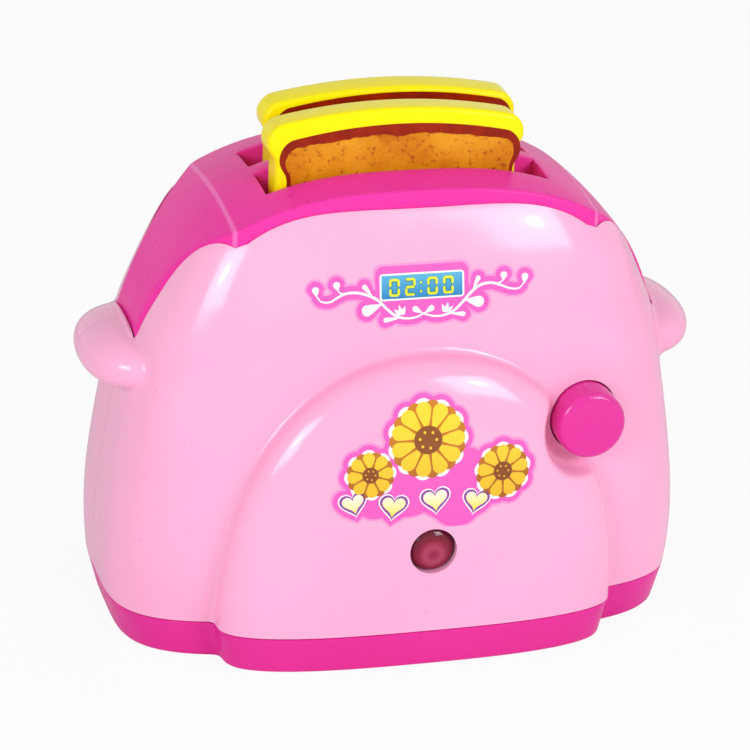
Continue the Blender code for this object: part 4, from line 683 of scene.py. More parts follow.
def housing(name, facing):
    """A finished half in millimetres: hollow, with its holes."""
    half = keep_half(housing_blank(facing), facing, SEAM_GAP / 2, SEAM_Z)
    cuts = [inside_room(facing)]
    if facing < 0:
        cuts += [bore(BUTTON_X, BUTTON_Z, KNOB_HOLE, INDOORS, OUTSIDE)]
        cuts += [bore(BUTTON_X, BUTTON_Z, FLANGE_WELL, INDOORS, FLANGE_WELL_Y)]
        cuts += [bore(LENS_X, LENS_Z, LENS_HOLE, INDOORS, OUTSIDE, 96)]
        cuts += [bore(LENS_X + s * LAMP_SCREW_X, LENS_Z, PILOT, INDOORS, LAMP_PILOT_Y, 24) for s in (-1, 1)]
        cuts += [bore(BUTTON_X, LATCH_Z, PILOT, INDOORS, LATCH_PILOT_Y, 24)]
    cuts += [post(x, y, THREAD, 0, THREAD_TOP, 32) for x, y in CORNERS if y * facing > 0]
    for s in (-1, 1):
        cuts.append(bore(s * JOIN_X, JOIN_Z, THREAD, -3, JOIN_DEPTH, 32, facing))
        if facing > 0:
            cuts.append(bore(s * JOIN_X, JOIN_Z, HEAD_WELL, JOIN_HEAD_Y, OUTSIDE, facing=1))
    merge(half, "DIFFERENCE", cuts)
    half.name = name
    return half


# %% Finish a piece
def finish(obj, name, material, body="body", node=None, sharp=35):
    """Scales a piece to metres, shades it, and ties it to the frame."""
    form = bmesh.new()
    form.from_mesh(obj.data)
    bmesh.ops.remove_doubles(form, verts=form.verts, dist=1e-4)
    bmesh.ops.dissolve_degenerate(form, edges=form.edges, dist=1e-4)
    bmesh.ops.scale(form, vec=(MM, MM, MM), verts=form.verts)
    form.to_mesh(obj.data)
    form.free()
    obj.name = name
    obj.data.name = name
    obj.data.polygons.foreach_set("use_smooth", [True] * len(obj.data.polygons))
    obj.data.set_sharp_from_angle(angle=radians(sharp))
    obj.data.materials.clear()
    obj.data.materials.append(material)
    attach(obj, body)
    if node:
        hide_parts(*([node] if isinstance(node, str) else node))
    count = sum(len(p.vertices) - 2 for p in obj.data.polygons)
    print(name, "triangles", count)
    return obj


front_half = housing("front_shell", -1)
form = bmesh.new()
form.from_mesh(front_half.data)
front_tree = BVHTree.FromBMesh(form)
form.free()
finish(front_half, "front_shell", pink, node="housing_front")
finish(housing("rear_shell", 1), "rear_shell", pink, node="housing_rear")

# %% [markdown]
# ## Top cover
# A grid follows the cover's line. The faces over the two slots are taken out, their edges run
# down as a collar and are rounded, and a Solidify modifier gives the even wall of a moulding.

# %% Cover grid
SLOT_HALF_LENGTH, SLOT_INNER, SLOT_OUTER, COLLAR_Z = 30.1, 2.5, 12.9, 85.7
EDGE_ROUND, RIM_ROUND, LIP_ROUND, COVER_WALL = 0.8, 1.1, 0.55, 1.6


def cover_columns():
    """(kind, value) across half the cover: fixed depths, then shares of the edge and skirt."""
    across = [0] + [SLOT_INNER + (SLOT_OUTER - SLOT_INNER) * k / 4 for k in range(5)]
    inner = [("inner", v) for v in across]
    outer = [("outer", k / 4) for k in range(1, 5)]
    edge = [("edge", k / 5) for k in range(1, 6)]
    return inner + outer + edge + [("skirt", k / 3) for k in range(1, 4)]


def cover_point(z, half, share, kind, value, radius):
    """(y, z) of one column at one station."""
    flat = half - radius
    squeeze = min(1, flat / (CREASE_HALF_DEPTH - EDGE_ROUND)) if share > 0 else 1
    if kind == "inner":
        y = value * squeeze
        return y, crown_z(y, z)
    if kind == "outer":
        y = SLOT_OUTER * squeeze + (flat - SLOT_OUTER * squeeze) * value
        return y, crown_z(y, z)
    start = crown_z(flat, z)
    if kind == "edge":
        turn = pi / 2 * value
        return flat + radius * sin(turn), start - radius * (1 - cos(turn))
    low = crown_z(half, z) - COVER_SKIRT
    return half, start - radius + (low - start + radius) * value


def make_cover():
    """The whole cover in millimetres."""
    along = {SLOT_HALF_LENGTH * (2 * k / 28 - 1) for k in range(1, 28)}
    beyond = [SLOT_HALF_LENGTH + (CREASE_X - SLOT_HALF_LENGTH) * k / 6 for k in range(6)]
    places = sorted(along | {s * x for s in (-1, 1) for x in beyond})
    stations = cover_stations(places, 22)
    columns = cover_columns()
    across = [(-1,) + c for c in reversed(columns[1:])] + [(1,) + c for c in columns]
    rows, cols = len(stations) - 1, len(across) - 1
    form = bmesh.new()
    bmesh.ops.create_grid(form, x_segments=rows, y_segments=cols, size=1)
    index = {}
    for vert in form.verts:
        i, j = round((vert.co.x + 1) / 2 * rows), round((vert.co.y + 1) / 2 * cols)
        x, z, half, share = stations[i]
        side, kind, value = across[j]
        radius = EDGE_ROUND + RIM_ROUND * min(1, share * 3) ** 2
        y, pz = cover_point(z, half, share, kind, value, radius)
        index[vert] = (x, side * y, kind)
        vert.co = (x, side * y, pz)
    gone = []
    for face in form.faces:
        spots = [index[v] for v in face.verts]
        depths = [abs(y) for _, y, _ in spots]
        over = max(abs(x) for x, _, _ in spots) <= SLOT_HALF_LENGTH + 1e-6
        one_side = len({np.sign(y) for _, y, _ in spots}) == 1
        if over and one_side and min(depths) >= SLOT_INNER - 0.1 and max(depths) <= SLOT_OUTER + 0.01:
            gone.append(face)
    bmesh.ops.delete(form, geom=gone, context="FACES")
    end = SLOT_HALF_LENGTH + 0.01
    lips = [e for e in form.edges if e.is_boundary
            and all(index[v][2] == "inner" and abs(v.co.x) <= end for v in e.verts)]
    walls = bmesh.ops.extrude_edge_only(form, edges=lips)["geom"]
    for vert in walls:
        if isinstance(vert, bmesh.types.BMVert):
            vert.co.z = COLLAR_Z
    bmesh.ops.recalc_face_normals(form, faces=form.faces)
    if sum(f.normal.z for f in form.faces) < 0:
        bmesh.ops.reverse_faces(form, faces=form.faces)
    bmesh.ops.bevel(form, geom=lips, offset=LIP_ROUND, offset_type="OFFSET", segments=3, profile=0.5,
                    affect="EDGES", clamp_overlap=False, material=-1)
    cover = as_object(form, "cover")
    step = cover.modifiers.new("wall", "SOLIDIFY")
    step.thickness = COVER_WALL
    step.offset = -1
    step.use_even_offset = True
    step.thickness_clamp = 1
    return bake(cover)


cover = make_cover()
finish(cover, "slotted_cover", cover_magenta, node="top_cover", sharp=28)
form = bmesh.new()
form.from_mesh(cover.data)
creases = [e for e in form.edges
           if all(abs(abs(v.co.x) - CREASE_X * MM) < 2e-6 and abs(v.co.y) < 0.022 for v in e.verts)]
for edge in creases:
    edge.smooth = False
form.to_mesh(cover.data)
form.free()
print("crease edges", len(creases))

# %% [markdown]
# ## Base tray
# Its outline is the body's foot with the arch's foot in front. Rings of that outline are
# bridged from the rounded foot up to the seam, and the bay, wells and posts come by Booleans.

# %% Base outline
FOOT_IN_SIDE, FOOT_IN_FRONT, NOTCH_REACH = 2.3, 0.8, 2.5


def base_outline(inset, count=288):
    """The joined outline of body and arch at the seam."""
    angle = np.linspace(0, 2 * pi, count, endpoint=False)
    level = np.full(count, SEAM_Z)
    bx, by = body_at(angle, level, inset)
    points = []
    for x, y in zip(bx, by):
        near, far = 1.0, 1.6
        for _ in range(24):
            middle = (near + far) / 2
            px, py = x * middle, y * middle
            inside = py < 0 and abs(px) < ARCH_HALF_WIDTH - inset and -py < arch_front(px, BASE_HEIGHT, inset)
            near, far = (middle, far) if inside else (near, middle)
        points.append((x * near, y * near) if near > 1.0001 else (x, y))
    points = np.array(points)
    for _ in range(3):
        soft = (np.roll(points, 1, 0) + np.roll(points, -1, 0)) / 2
        notch = (np.abs(np.abs(points[:, 0]) - ARCH_HALF_WIDTH + inset) < NOTCH_REACH) & (points[:, 1] < 0)
        points = np.where(notch[:, None], (points + soft) / 2, points)
    return points


def base_ring(points, z, shrink):
    """The outline at height z, drawn in towards the foot."""
    fall = 1 - z / BASE_HEIGHT
    wide = 1 - (FOOT_IN_SIDE * fall + shrink) / HALF_WIDTH
    deep = 1 - (FOOT_IN_FRONT * fall + shrink) / HALF_DEPTH
    return [(x * wide, y * deep, z) for x, y in points]


# %% Base
BAY_HALF, BAY_FRONT, BAY_REAR, BAY_TOP, BAY_WALL = 24.25, 4.2, 26.1, 13.3, 1.5
DOOR_EDGE, TAB_LENGTH, TAB_HALF = 0.9, 7.0, 3.6
DOOR_Y, DOOR_SCREW_X = (BAY_FRONT + BAY_REAR) / 2, BAY_HALF + DOOR_EDGE + TAB_LENGTH - TAB_HALF
DOOR_THICK, DOOR_POST, DOOR_POST_TOP, DOOR_PILOT_TOP = 2.2, 3.4, 9, 8
FOOT_ROUND, FLOOR_TOP, SUNK, UNDER = 0.8, 2.6, 1.3, -3
LIP_INSET, LIP_TOP, TRAY_INSET = 2.3, 11.85, 3.9
CORNER_POST, CORNER_WELL_TOP, CORNER_HOLE_TOP = 4.5, 4, 12
ROD_X, ROD_POST, ROD_POST_TOP, ROD_HOLE, ROD_HOLE_FOOT = 35.2, 4.6, 13, 1.7, 7
STOP_X, STOP_HALF, STOP_TOP = 25, 1.8, 40.3
SWITCH_X, SWITCH_Y, SWITCH_LONG, SWITCH_WIDE, SWITCH_TOP, SWITCH_PILOT = -33.5, -19.5, 3.4, 2.4, 30, 24.5


def straight(points, low, high):
    return stack([[(x, y, low) for x, y in points], [(x, y, high) for x, y in points]])


def make_base():
    points = base_outline(0)
    edge = [radians(a) for a in (90, 68, 45, 22, 0)]
    rings = [base_ring(points, FOOT_ROUND * (1 - sin(a)), FOOT_ROUND * (1 - cos(a))) for a in edge]
    rings += [base_ring(points, z, 0) for z in (3, 6, BASE_HEIGHT - 0.5)]
    rings += [base_ring(points, BASE_HEIGHT - 0.27, 0.08), base_ring(points, BASE_HEIGHT - SPLIT / 2, 0.22)]
    tray = stack(rings, "tray")
    merge(tray, "UNION", [straight(base_outline(LIP_INSET, 144), SUNK, LIP_TOP)])
    merge(tray, "DIFFERENCE", [straight(base_outline(TRAY_INSET, 144), FLOOR_TOP, 20)])
    posts = [post(x, y, CORNER_POST, SUNK, SEAM_Z) for x, y in CORNERS]
    posts += [post(s * ROD_X, 0, ROD_POST, SUNK, ROD_POST_TOP) for s in (-1, 1)]
    posts += [block((s * STOP_X - STOP_HALF, -STOP_HALF, SUNK), (s * STOP_X + STOP_HALF, STOP_HALF, STOP_TOP))
              for s in (-1, 1)]
    posts += [block((-BAY_HALF - BAY_WALL, BAY_FRONT - BAY_WALL, SUNK),
                    (BAY_HALF + BAY_WALL, BAY_REAR + BAY_WALL, BAY_TOP + BAY_WALL))]
    posts += [post(DOOR_SCREW_X, DOOR_Y, DOOR_POST, SUNK, DOOR_POST_TOP)]
    posts += [block((SWITCH_X - SWITCH_LONG, SWITCH_Y - SWITCH_WIDE, SUNK),
                    (SWITCH_X + SWITCH_LONG, SWITCH_Y + SWITCH_WIDE, SWITCH_TOP))]
    merge(tray, "UNION", posts)
    cuts = [block((-BAY_HALF, BAY_FRONT, UNDER), (BAY_HALF, BAY_REAR, BAY_TOP))]
    cuts += door_blocks(FIT, UNDER, DOOR_THICK + FIT)
    cuts += [post(DOOR_SCREW_X, DOOR_Y, PILOT, 0, DOOR_PILOT_TOP, 24)]
    for x, y in CORNERS:
        cuts += [post(x, y, HEAD_WELL, UNDER, CORNER_WELL_TOP), post(x, y, THREAD, 0, CORNER_HOLE_TOP, 32)]
    cuts += [post(s * ROD_X, 0, ROD_HOLE, ROD_HOLE_FOOT, 16, 32) for s in (-1, 1)]
    cuts += [post(SWITCH_X, SWITCH_Y, PILOT, SWITCH_PILOT, 33, 24)]
    return merge(tray, "DIFFERENCE", cuts)


def door_blocks(gap, low, high):
    """The door's plate and its screw tab, larger by gap all round."""
    end, edge, half = BAY_HALF + DOOR_EDGE, DOOR_EDGE + gap, TAB_HALF + gap
    return [block((-end - gap, BAY_FRONT - edge, low), (end + gap, BAY_REAR + edge, high)),
            block((end - DOOR_EDGE, DOOR_Y - half, low), (end + TAB_LENGTH + gap, DOOR_Y + half, high))]


finish(make_base(), "base_tray", base_magenta, node="base")

# %% Battery door
plate, tab = door_blocks(0, 0, DOOR_THICK)
door = merge(plate, "UNION", [tab])
grips = [block((-21.5 + 1.6 * k, 8, -1), (-20.7 + 1.6 * k, 22.3, 0.5)) for k in range(6)]
holes = [post(DOOR_SCREW_X, DOOR_Y, 2.0, UNDER, 1.5), post(DOOR_SCREW_X, DOOR_Y, PILOT, 0, 4, 24)]
merge(door, "DIFFERENCE", grips + holes)
finish(door, "bay_door", base_magenta, node="battery_door")

# %% [markdown]
# ## Screws
# A pan head screw is turned from its profile, and two crossed bars cut the drive.

# %% Steel and screws
def metal(name, light, dark, rough=(0.22, 0.38)):
    """Worn bright metal."""
    material, tree, place, shader = start_material(name)
    plug(tree, shader, {
        "Base Color": ramp_of(tree, noise_of(tree, place, 300, 3), [(0.3, dark), (0.7, light)]),
        "Roughness": ramp_of(tree, noise_of(tree, place, 700, 4, 0.6), [(0.3, rough[0]), (0.7, rough[1])]),
        "Normal": bump_of(tree, noise_of(tree, place, 2500, 2), 0.00001), "Metallic": 1.0,
    })
    return material


steel = metal("zinc_steel", "#C4C6C8", "#A9ABAE")


def screw(node, centre, axis, seat, radius, head_radius, head, length):
    """A pan head screw whose head sits on the seat, dressed over the node of that name."""
    top = seat - head
    profile = [(top, 0), (top + 0.02, head_radius * 0.6), (top + head * 0.35, head_radius * 0.96),
               (top + head * 0.5, head_radius), (seat, head_radius), (seat, radius)]
    turns = int(length / 0.8)
    for k in range(turns):
        at = seat + (length - 1.5) * k / turns
        profile += [(at + 0.2, radius), (at + 0.45, radius * 0.78)]
    profile += [(seat + length - 1.2, radius * 0.8), (seat + length - 0.2, 0)]
    made = turned(profile, centre, axis, 32)
    along = Vector(axis)
    side = along.orthogonal().normalized()
    other = along.cross(side)
    corner = Vector((0.22 * head_radius, 0.6 * head_radius, 0))
    onto_head = Matrix.Translation(Vector(centre) + along * top)
    for a, b in ((side, other), (other, side)):
        bar = block(Vector((0, 0, -head * 0.3)) - corner, Vector((0, 0, head * 0.4)) + corner)
        bar.data.transform(onto_head @ Matrix((a, b, along)).transposed().to_4x4())
        if Matrix((a, b, along)).determinant() < 0:
            bar.data.flip_normals()
        merge(made, "DIFFERENCE", [bar])
    return finish(made, node + "_dressed", steel, node=node)


LONG_SCREW = {"radius": 1.3, "head_radius": 2.6, "head": 1.7, "length": 15}
SHORT_SCREW = {"radius": 0.8, "head_radius": 1.7, "head": 1.1, "length": 5.5}
for k, (x, y) in enumerate(CORNERS):
    screw(f"base_screw_{k + 1}", (x, y, 0), (0, 0, 1), 3.7, **LONG_SCREW)
for name, s in (("left", -1), ("right", 1)):
    screw("rear_screw_" + name, (s * JOIN_X, JOIN_HEAD_Y + FIT, JOIN_Z), (0, -1, 0), 0, **LONG_SCREW)
screw("battery_door_screw", (DOOR_SCREW_X, DOOR_Y, 0), (0, 0, 1), 1.2, **SHORT_SCREW)

# %% [markdown]
# ## Bread slices
# Each slice is a loaf-shaped plate with softly rounded edges. Its outline is half a set of cubic
# curves, mirrored, and the rounding is a few rings of that outline, each moved inwards.

# %% Slice outline
SLICE_TOP, SLICE_FOOT = 112.5, 58.7
SLICE_HALF, SLICE_EDGE, SLOT_LEVEL = 3.65, 1.1, 99.0
SLICES = {"front": (-2.2, -7.7, radians(-1.5)), "rear": (0.4, 7.7, radians(3.0))}


def curve(start, pull, push, end, steps):
    points = []
    for k in range(1, steps + 1):
        t = k / steps
        w = ((1 - t) ** 3, 3 * t * (1 - t) ** 2, 3 * t**2 * (1 - t), t**3)
        points.append(tuple(sum(a * p[i] for a, p in zip(w, (start, pull, push, end))) for i in (0, 1)))
    return points


def slice_outline():
    """The loaf shape, anticlockwise from the foot, with heights above the foot."""
    top = SLICE_TOP - SLICE_FOOT
    body, head, shoulder_x = 25.6, 27.3, 24.0
    neck, widest, shoulder = top - 11.5, top - 6.5, top - 2.4
    half = [(body - 2, 0)] + curve((body - 2, 0), (body - 1, 0), (body, 1), (body, 2), 6)
    half += [(body, 2 + (neck - 2) * k / 10) for k in range(1, 11)]
    rise, bend, reach = (widest - neck) / 2, (shoulder - widest) / 2, (head - shoulder_x) / 2
    half += curve((body, neck), (body, neck + rise), (head, widest - rise), (head, widest), 12)
    half += curve((head, widest), (head, widest + bend), (shoulder_x + reach, shoulder - reach * 0.2),
                  (shoulder_x, shoulder), 12)
    half += [(shoulder_x * (1 - k / 16), top - (top - shoulder) * (1 - k / 16) ** 2) for k in range(1, 16)]
    return half + [(0, top)] + [(-x, z) for x, z in reversed(half)]


def inward(outline, amount):
    """The outline moved inwards, square to its edges."""
    moved = []
    for k, (x, z) in enumerate(outline):
        before, after = Vector(outline[k - 1]), Vector(outline[(k + 1) % len(outline)])
        along = (after - before).normalized()
        moved.append((x - along.y * amount, z + along.x * amount))
    return moved


def slice_matrix(which):
    """Stands a slice in its slot: y is given at the slot's level, and it leans about its foot."""
    x, y, lean = SLICES[which]
    foot = Vector((x, y + (SLOT_LEVEL - SLICE_FOOT) * tan(lean), SLICE_FOOT + SLICE_HALF * abs(sin(lean))))
    return Matrix.Translation(foot) @ Matrix.Rotation(lean, 4, "X")


def make_slice(which):
    outline = slice_outline()
    rings = []
    for face in (-1, 1):
        turns = [(sin(pi / 2 * k / 5), cos(pi / 2 * k / 5)) for k in range(6)]
        part = [(face * (SLICE_HALF - SLICE_EDGE * (1 - s)), SLICE_EDGE * (1 - c)) for s, c in turns]
        rings += part[::-1] if face < 0 else part
    body = stack([[(x, y, z) for x, z in inward(outline, inset)] for y, inset in rings], "slice")
    body.data.transform(slice_matrix(which))
    return body


for which in ("front", "rear"):
    finish(make_slice(which), which + "_bread", yellow, which + "_slice", "slice_" + which,
           40)

# %% [markdown]
# ## Printed crust and crumb
# The print is a thin sheet on the front of each slice. A number stored on its points, the distance
# from the print's edge, lets the shader lay a crust along the edge whatever the outline does.

# %% Bread print material
def bread_print():
    """Crust along the print's edge, and a crumb with darker pores inside it."""
    material, tree, place, shader = start_material("bread_print")
    edge = node_of(tree, "Attribute", {}, attribute_name="crust").outputs["Fac"]
    wavy = math_of(tree, "MULTIPLY_ADD", noise_of(tree, place, 190, 3, 0.55), 1.1, edge)
    crumb = ramp_of(tree, noise_of(tree, place, 110, 4, 0.6),
                    [(0.32, "#C06A08"), (0.5, "#D48A12"), (0.68, "#E09C20")])
    holes = noise_of(tree, place, 620, 4, 0.7)
    crumb = blend_of(tree, ramp_of(tree, holes, [(0.55, 0.0), (0.66, 0.9)]), crumb, linear("#96330A"))
    crust = ramp_of(tree, noise_of(tree, place, 260, 3), [(0.35, "#831A04"), (0.65, "#9A2406")])
    plug(tree, shader, {
        "Base Color": blend_of(tree, map_of(tree, wavy, 1.5, 1.58), crust, crumb),
        "Roughness": ramp_of(tree, noise_of(tree, place, 80, 3), [(0.3, 0.28), (0.7, 0.4)]),
        "Normal": bump_of(tree, holes, 0.00003), "Specular IOR Level": 0.15,
    })
    return material


# %% Bread print sheets
PRINT_SCALE, PRINT_SHIFT, PRINT_MIDDLE_Z, PRINT_FOOT = 0.94, 0.75, 30, 4
PRINT_LIFT, PRINT_THICK = 0.05, 0.045
CRUST_WIDTH, CRUST_EXTRA, CRUST_FROM, CRUST_RUN = 0.9, 1.6, 9, 7


def make_print(which, top_gap):
    """A thin sheet of the slice's outline, with the distance to its edge kept on its points."""
    outline = [(PRINT_SCALE * x + PRINT_SHIFT, z - top_gap) for x, z in slice_outline() if z > PRINT_FOOT]
    count, depth = len(outline), 26
    middle = Vector((PRINT_SHIFT, PRINT_MIDDLE_Z))
    form = bmesh.new()
    layer = form.verts.layers.float.new("crust")
    bmesh.ops.create_grid(form, x_segments=count, y_segments=depth, size=1)
    line = np.array(outline)
    for vert in form.verts:
        i = round((vert.co.x + 1) / 2 * count) % count
        share = round((vert.co.y + 1) / 2 * depth) / depth
        share = 1 - (1 - share) ** 2
        x, z = middle.x + (line[i][0] - middle.x) * share, middle.y + (line[i][1] - middle.y) * share
        gap = np.min(np.hypot(line[:, 0] - x, line[:, 1] - z))
        height = min(1, max(0, (z - line[:, 1].max() + CRUST_FROM) / CRUST_RUN))
        vert[layer] = min(4, gap / (CRUST_WIDTH + CRUST_EXTRA * height))
        vert.co = (x, -SLICE_HALF - PRINT_LIFT, z)
    bmesh.ops.remove_doubles(form, verts=form.verts, dist=1e-4)
    bmesh.ops.recalc_face_normals(form, faces=form.faces)
    for vert in second_skin(form):
        vert.co.y += PRINT_THICK
    made = as_object(form, "print", closed=True)
    made.data.transform(slice_matrix(which))
    return made


bread = bread_print()
for which, gap in (("front", 3.3), ("rear", 1.1)):
    finish(make_print(which, gap), which + "_bread_print", bread, which + "_slice", sharp=60)

# %% [markdown]
# ## Push button and lamp lens
# Both are turned. The button has a rounded edge and a face that bulges a little, with a flange
# behind the wall. The lens is a low glossy dome in its hole.

# %% Button
KNOB_FACE, KNOB_RADIUS, KNOB_ROUND, KNOB_BULGE = 36.9, 7.4, 1.6, 0.4
STEM_END, STEM_RADIUS, STEM_ROUND = 19.4, 2.4, 0.3
FLANGE_BACK, FLANGE_FACE, FLANGE_RADIUS = 25.4, 26.8, 8.8

profile = [(STEM_END, 0), (STEM_END, STEM_RADIUS - STEM_ROUND), (STEM_END + STEM_ROUND, STEM_RADIUS),
           (FLANGE_BACK, STEM_RADIUS), (FLANGE_BACK, FLANGE_RADIUS), (FLANGE_FACE, FLANGE_RADIUS),
           (FLANGE_FACE, KNOB_RADIUS)]
for k in range(9):
    turn = pi / 2 * k / 8
    profile.append((KNOB_FACE - KNOB_BULGE - KNOB_ROUND * (1 - sin(turn)),
                    KNOB_RADIUS - KNOB_ROUND * (1 - cos(turn))))
profile += [(KNOB_FACE - KNOB_BULGE * (r / 5.8) ** 2, r) for r in (4.4, 3.0, 1.5, 0)]
button = turned(profile, (BUTTON_X, 0, BUTTON_Z), (0, -1, 0), 96)
finish(button, "push_knob", button_magenta, "push_button", "button", 30)

# %% Lens
LENS_RADIUS, LENS_BULGE, LENS_SINK = 4.8, 1.9, 0.9
LENS_FLANGE, LENS_FLANGE_THICK = 6.2, 1.2


def lens_glass():
    """Wine-red clear plastic with painted light: lighter low in its middle, where light gathers, and darker
    at its rim as painted shade.
    """
    material, tree, place, shader = start_material("lens_wine")
    centred = node_of(tree, "Mapping", {"Vector": place, "Location": (-LENS_X * MM, 0, -(LENS_Z - 0.8) * MM)})
    scale = 1 / (LENS_RADIUS * MM)
    flat = node_of(tree, "Mapping", {"Vector": centred.outputs[0], "Scale": (scale, 0, scale)})
    # This spherical fade paints the lens's light: bright low in the middle, shaded towards the rim.
    fade = node_of(tree, "TexGradient", {"Vector": flat.outputs[0]}, gradient_type="SPHERICAL").outputs["Fac"]
    plug(tree, shader, {
        "Base Color": ramp_of(tree, fade, [(0.0, "#5A0222"), (0.35, "#860A30"), (0.62, "#A8385A"),
                                           (0.9, "#901640")]),
        "Roughness": ramp_of(tree, noise_of(tree, place, 90, 2), [(0.3, 0.03), (0.7, 0.06)]),
        "IOR": 1.58, "Specular IOR Level": 0.25, "Coat Weight": 0.1, "Coat Roughness": 0.03,
    })
    return material


face = float(arch_front(LENS_X, LENS_Z))
inner = float(arch_front(LENS_X, LENS_Z, WALL)) - FIT
rim = face - LENS_SINK
profile = [(inner - LENS_FLANGE_THICK, 0), (inner - LENS_FLANGE_THICK, LENS_FLANGE), (inner, LENS_FLANGE),
           (inner, LENS_RADIUS)]
turns = [pi / 2 * k / 18 for k in range(19)]
profile += [(rim + LENS_BULGE * (sin(turn) - 0.45), LENS_RADIUS * cos(turn)) for turn in turns]
lamp_lens = turned(profile, (LENS_X, 0, LENS_Z), (0, -1, 0), 96)
finish(lamp_lens, "lamp_window", lens_glass(), node="indicator_lens", sharp=30)

# %% [markdown]
# ## Stickers
# Two printed vinyl stickers sit on the front: a clock in a leaf scroll, and flowers with hearts.
# Each printed colour is a very thin sheet that hugs the curved housing. A fine grid is laid on the
# housing by casting rays at it, thickened, and cut to shape by prisms of the drawn outlines.
# So the drawing is flat and simple, and the sheet takes the curve.

# %% Sheets that hug the housing
SHEET_STEP = 0.45
SHEET_SINK, RAY_START, PRISM_ENDS = 0.03, -60, (-55, -15)


def hugging_sheet(low, high, lift):
    """A closed thin sheet over the area low to high (x, z), lift in front of the housing."""
    steps = [max(2, round((b - a) / SHEET_STEP)) for a, b in zip(low, high)]
    form = bmesh.new()
    bmesh.ops.create_grid(form, x_segments=steps[0], y_segments=steps[1], size=1)
    for vert in form.verts:
        x = low[0] + (high[0] - low[0]) * (vert.co.x + 1) / 2
        z = low[1] + (high[1] - low[1]) * (vert.co.y + 1) / 2
        hit = front_tree.ray_cast(Vector((x, RAY_START, z)), Vector((0, 1, 0)))[0]
        vert.co = (x, hit.y - lift, z)
    for vert in second_skin(form):
        vert.co.y += lift + SHEET_SINK
    return as_object(form, "sheet", closed=True)


def prism(outline):
    """A bar with the outline's shape that runs through the front of the housing."""
    return stack([[(x, y, z) for x, z in outline] for y in PRISM_ENDS], "prism")


def decal(name, outlines, lift, material, area):
    """One printed colour: the outlines joined, cut out of a sheet at the given lift."""
    bars = [prism(outline) for outline in outlines]
    shape = merge(bars[0], "UNION", bars[1:]) if len(bars) > 1 else bars[0]
    sheet = merge(hugging_sheet(*area, lift), "INTERSECT", [shape])
    return finish(sheet, name, material, sharp=60)


# %% Drawn shapes
def smooth_line(points, steps=7):
    """A flowing line through the points."""
    ends = [points[0]] + list(points) + [points[-1]]
    line = []
    for a, b, c, d in zip(ends, ends[1:], ends[2:], ends[3:]):
        for k in range(steps):
            u = k / steps
            line.append(tuple(0.5 * (2 * q + (r - p) * u + (2 * p - 5 * q + 4 * r - s) * u**2
                                     + (3 * q - p - 3 * r + s) * u**3) for p, q, r, s in zip(a, b, c, d)))
    return line + [tuple(points[-1])]


def ribbon(points, thin, thick, fat=0.0):
    """A band along a flowing line, thick in its middle and thin at its ends."""
    line = smooth_line(points)
    left, right = [], []
    for k, (x, z) in enumerate(line):
        before, after = line[max(k - 1, 0)], line[min(k + 1, len(line) - 1)]
        dx, dz = after[0] - before[0], after[1] - before[1]
        size = sqrt(dx * dx + dz * dz)
        half = (thin + (thick - thin) * sin(pi * k / (len(line) - 1))) / 2 + fat
        left.append((x - dz / size * half, z + dx / size * half))
        right.append((x + dz / size * half, z - dx / size * half))
    return left + right[::-1]


def drop(tip, middle, radius, fat=0.0, count=20):
    """A leaf or bud: round at its middle point, drawn out to a tip."""
    dx, dz = middle[0] - tip[0], middle[1] - tip[1]
    reach = sqrt(dx * dx + dz * dz)
    ux, uz = dx / reach, dz / reach
    outline = []
    for k in range(count):
        a = 2 * pi * k / count
        along = (radius + fat) * cos(a) if cos(a) > 0 else (reach + fat) * cos(a)
        across = (radius + fat) * sin(a) * (1 if cos(a) > 0 else (1 + cos(a)) ** 0.6)
        outline.append((middle[0] + ux * along - uz * across, middle[1] + uz * along + ux * across))
    return outline


def disc(x, z, radius, count=28):
    turns = [2 * pi * k / count for k in range(count)]
    return [(x + radius * cos(a), z + radius * sin(a)) for a in turns]


def rounded_box(x, z, wide, high, radius):
    corners = []
    for k, (sx, sz) in enumerate(((1, 1), (-1, 1), (-1, -1), (1, -1))):
        for j in range(5):
            a = pi / 2 * (k + j / 4)
            px, pz = sx * (wide / 2 - radius) + radius * cos(a), sz * (high / 2 - radius) + radius * sin(a)
            corners.append((x + px, z + pz))
    return corners


# %% Print inks
def ink(name, low, high, low_z, high_z, grain=0.06):
    """A glossy printed colour that shades from low to high up the sticker, with a fine print grain."""
    material, tree, place, shader = start_material(name)
    height = map_of(tree, node_of(tree, "SeparateXYZ", {0: place}).outputs["Z"], low_z * MM, high_z * MM)
    dither = math_of(tree, "MULTIPLY_ADD", noise_of(tree, place, 2600, 2), grain, height)
    plug(tree, shader, {
        "Base Color": ramp_of(tree, dither, [(0.0, low), (1.0, high)]),
        "Roughness": ramp_of(tree, noise_of(tree, place, 90, 3), [(0.3, 0.16), (0.7, 0.26)]),
        "Normal": bump_of(tree, noise_of(tree, place, 200, 1), 0.00002),
    })
    return material


ink_blush = ink("ink_blush", "#F98ACB", "#F992CE", 30, 90)
ink_magenta = ink("ink_magenta", "#EE58BB", "#F35CBC", 30, 90)
ink_white = ink("ink_white", "#F2F0F2", "#F8F6F8", 70, 85)
ink_blue = ink("ink_blue", "#1878B6", "#58B0D6", 77.8, 83.0)
ink_lime = ink("ink_lime", "#D6DC1E", "#E4E62A", 78.3, 82.3)
ink_teal = ink("ink_teal", "#2A7F6A", "#2F8A70", 78.3, 82.3)

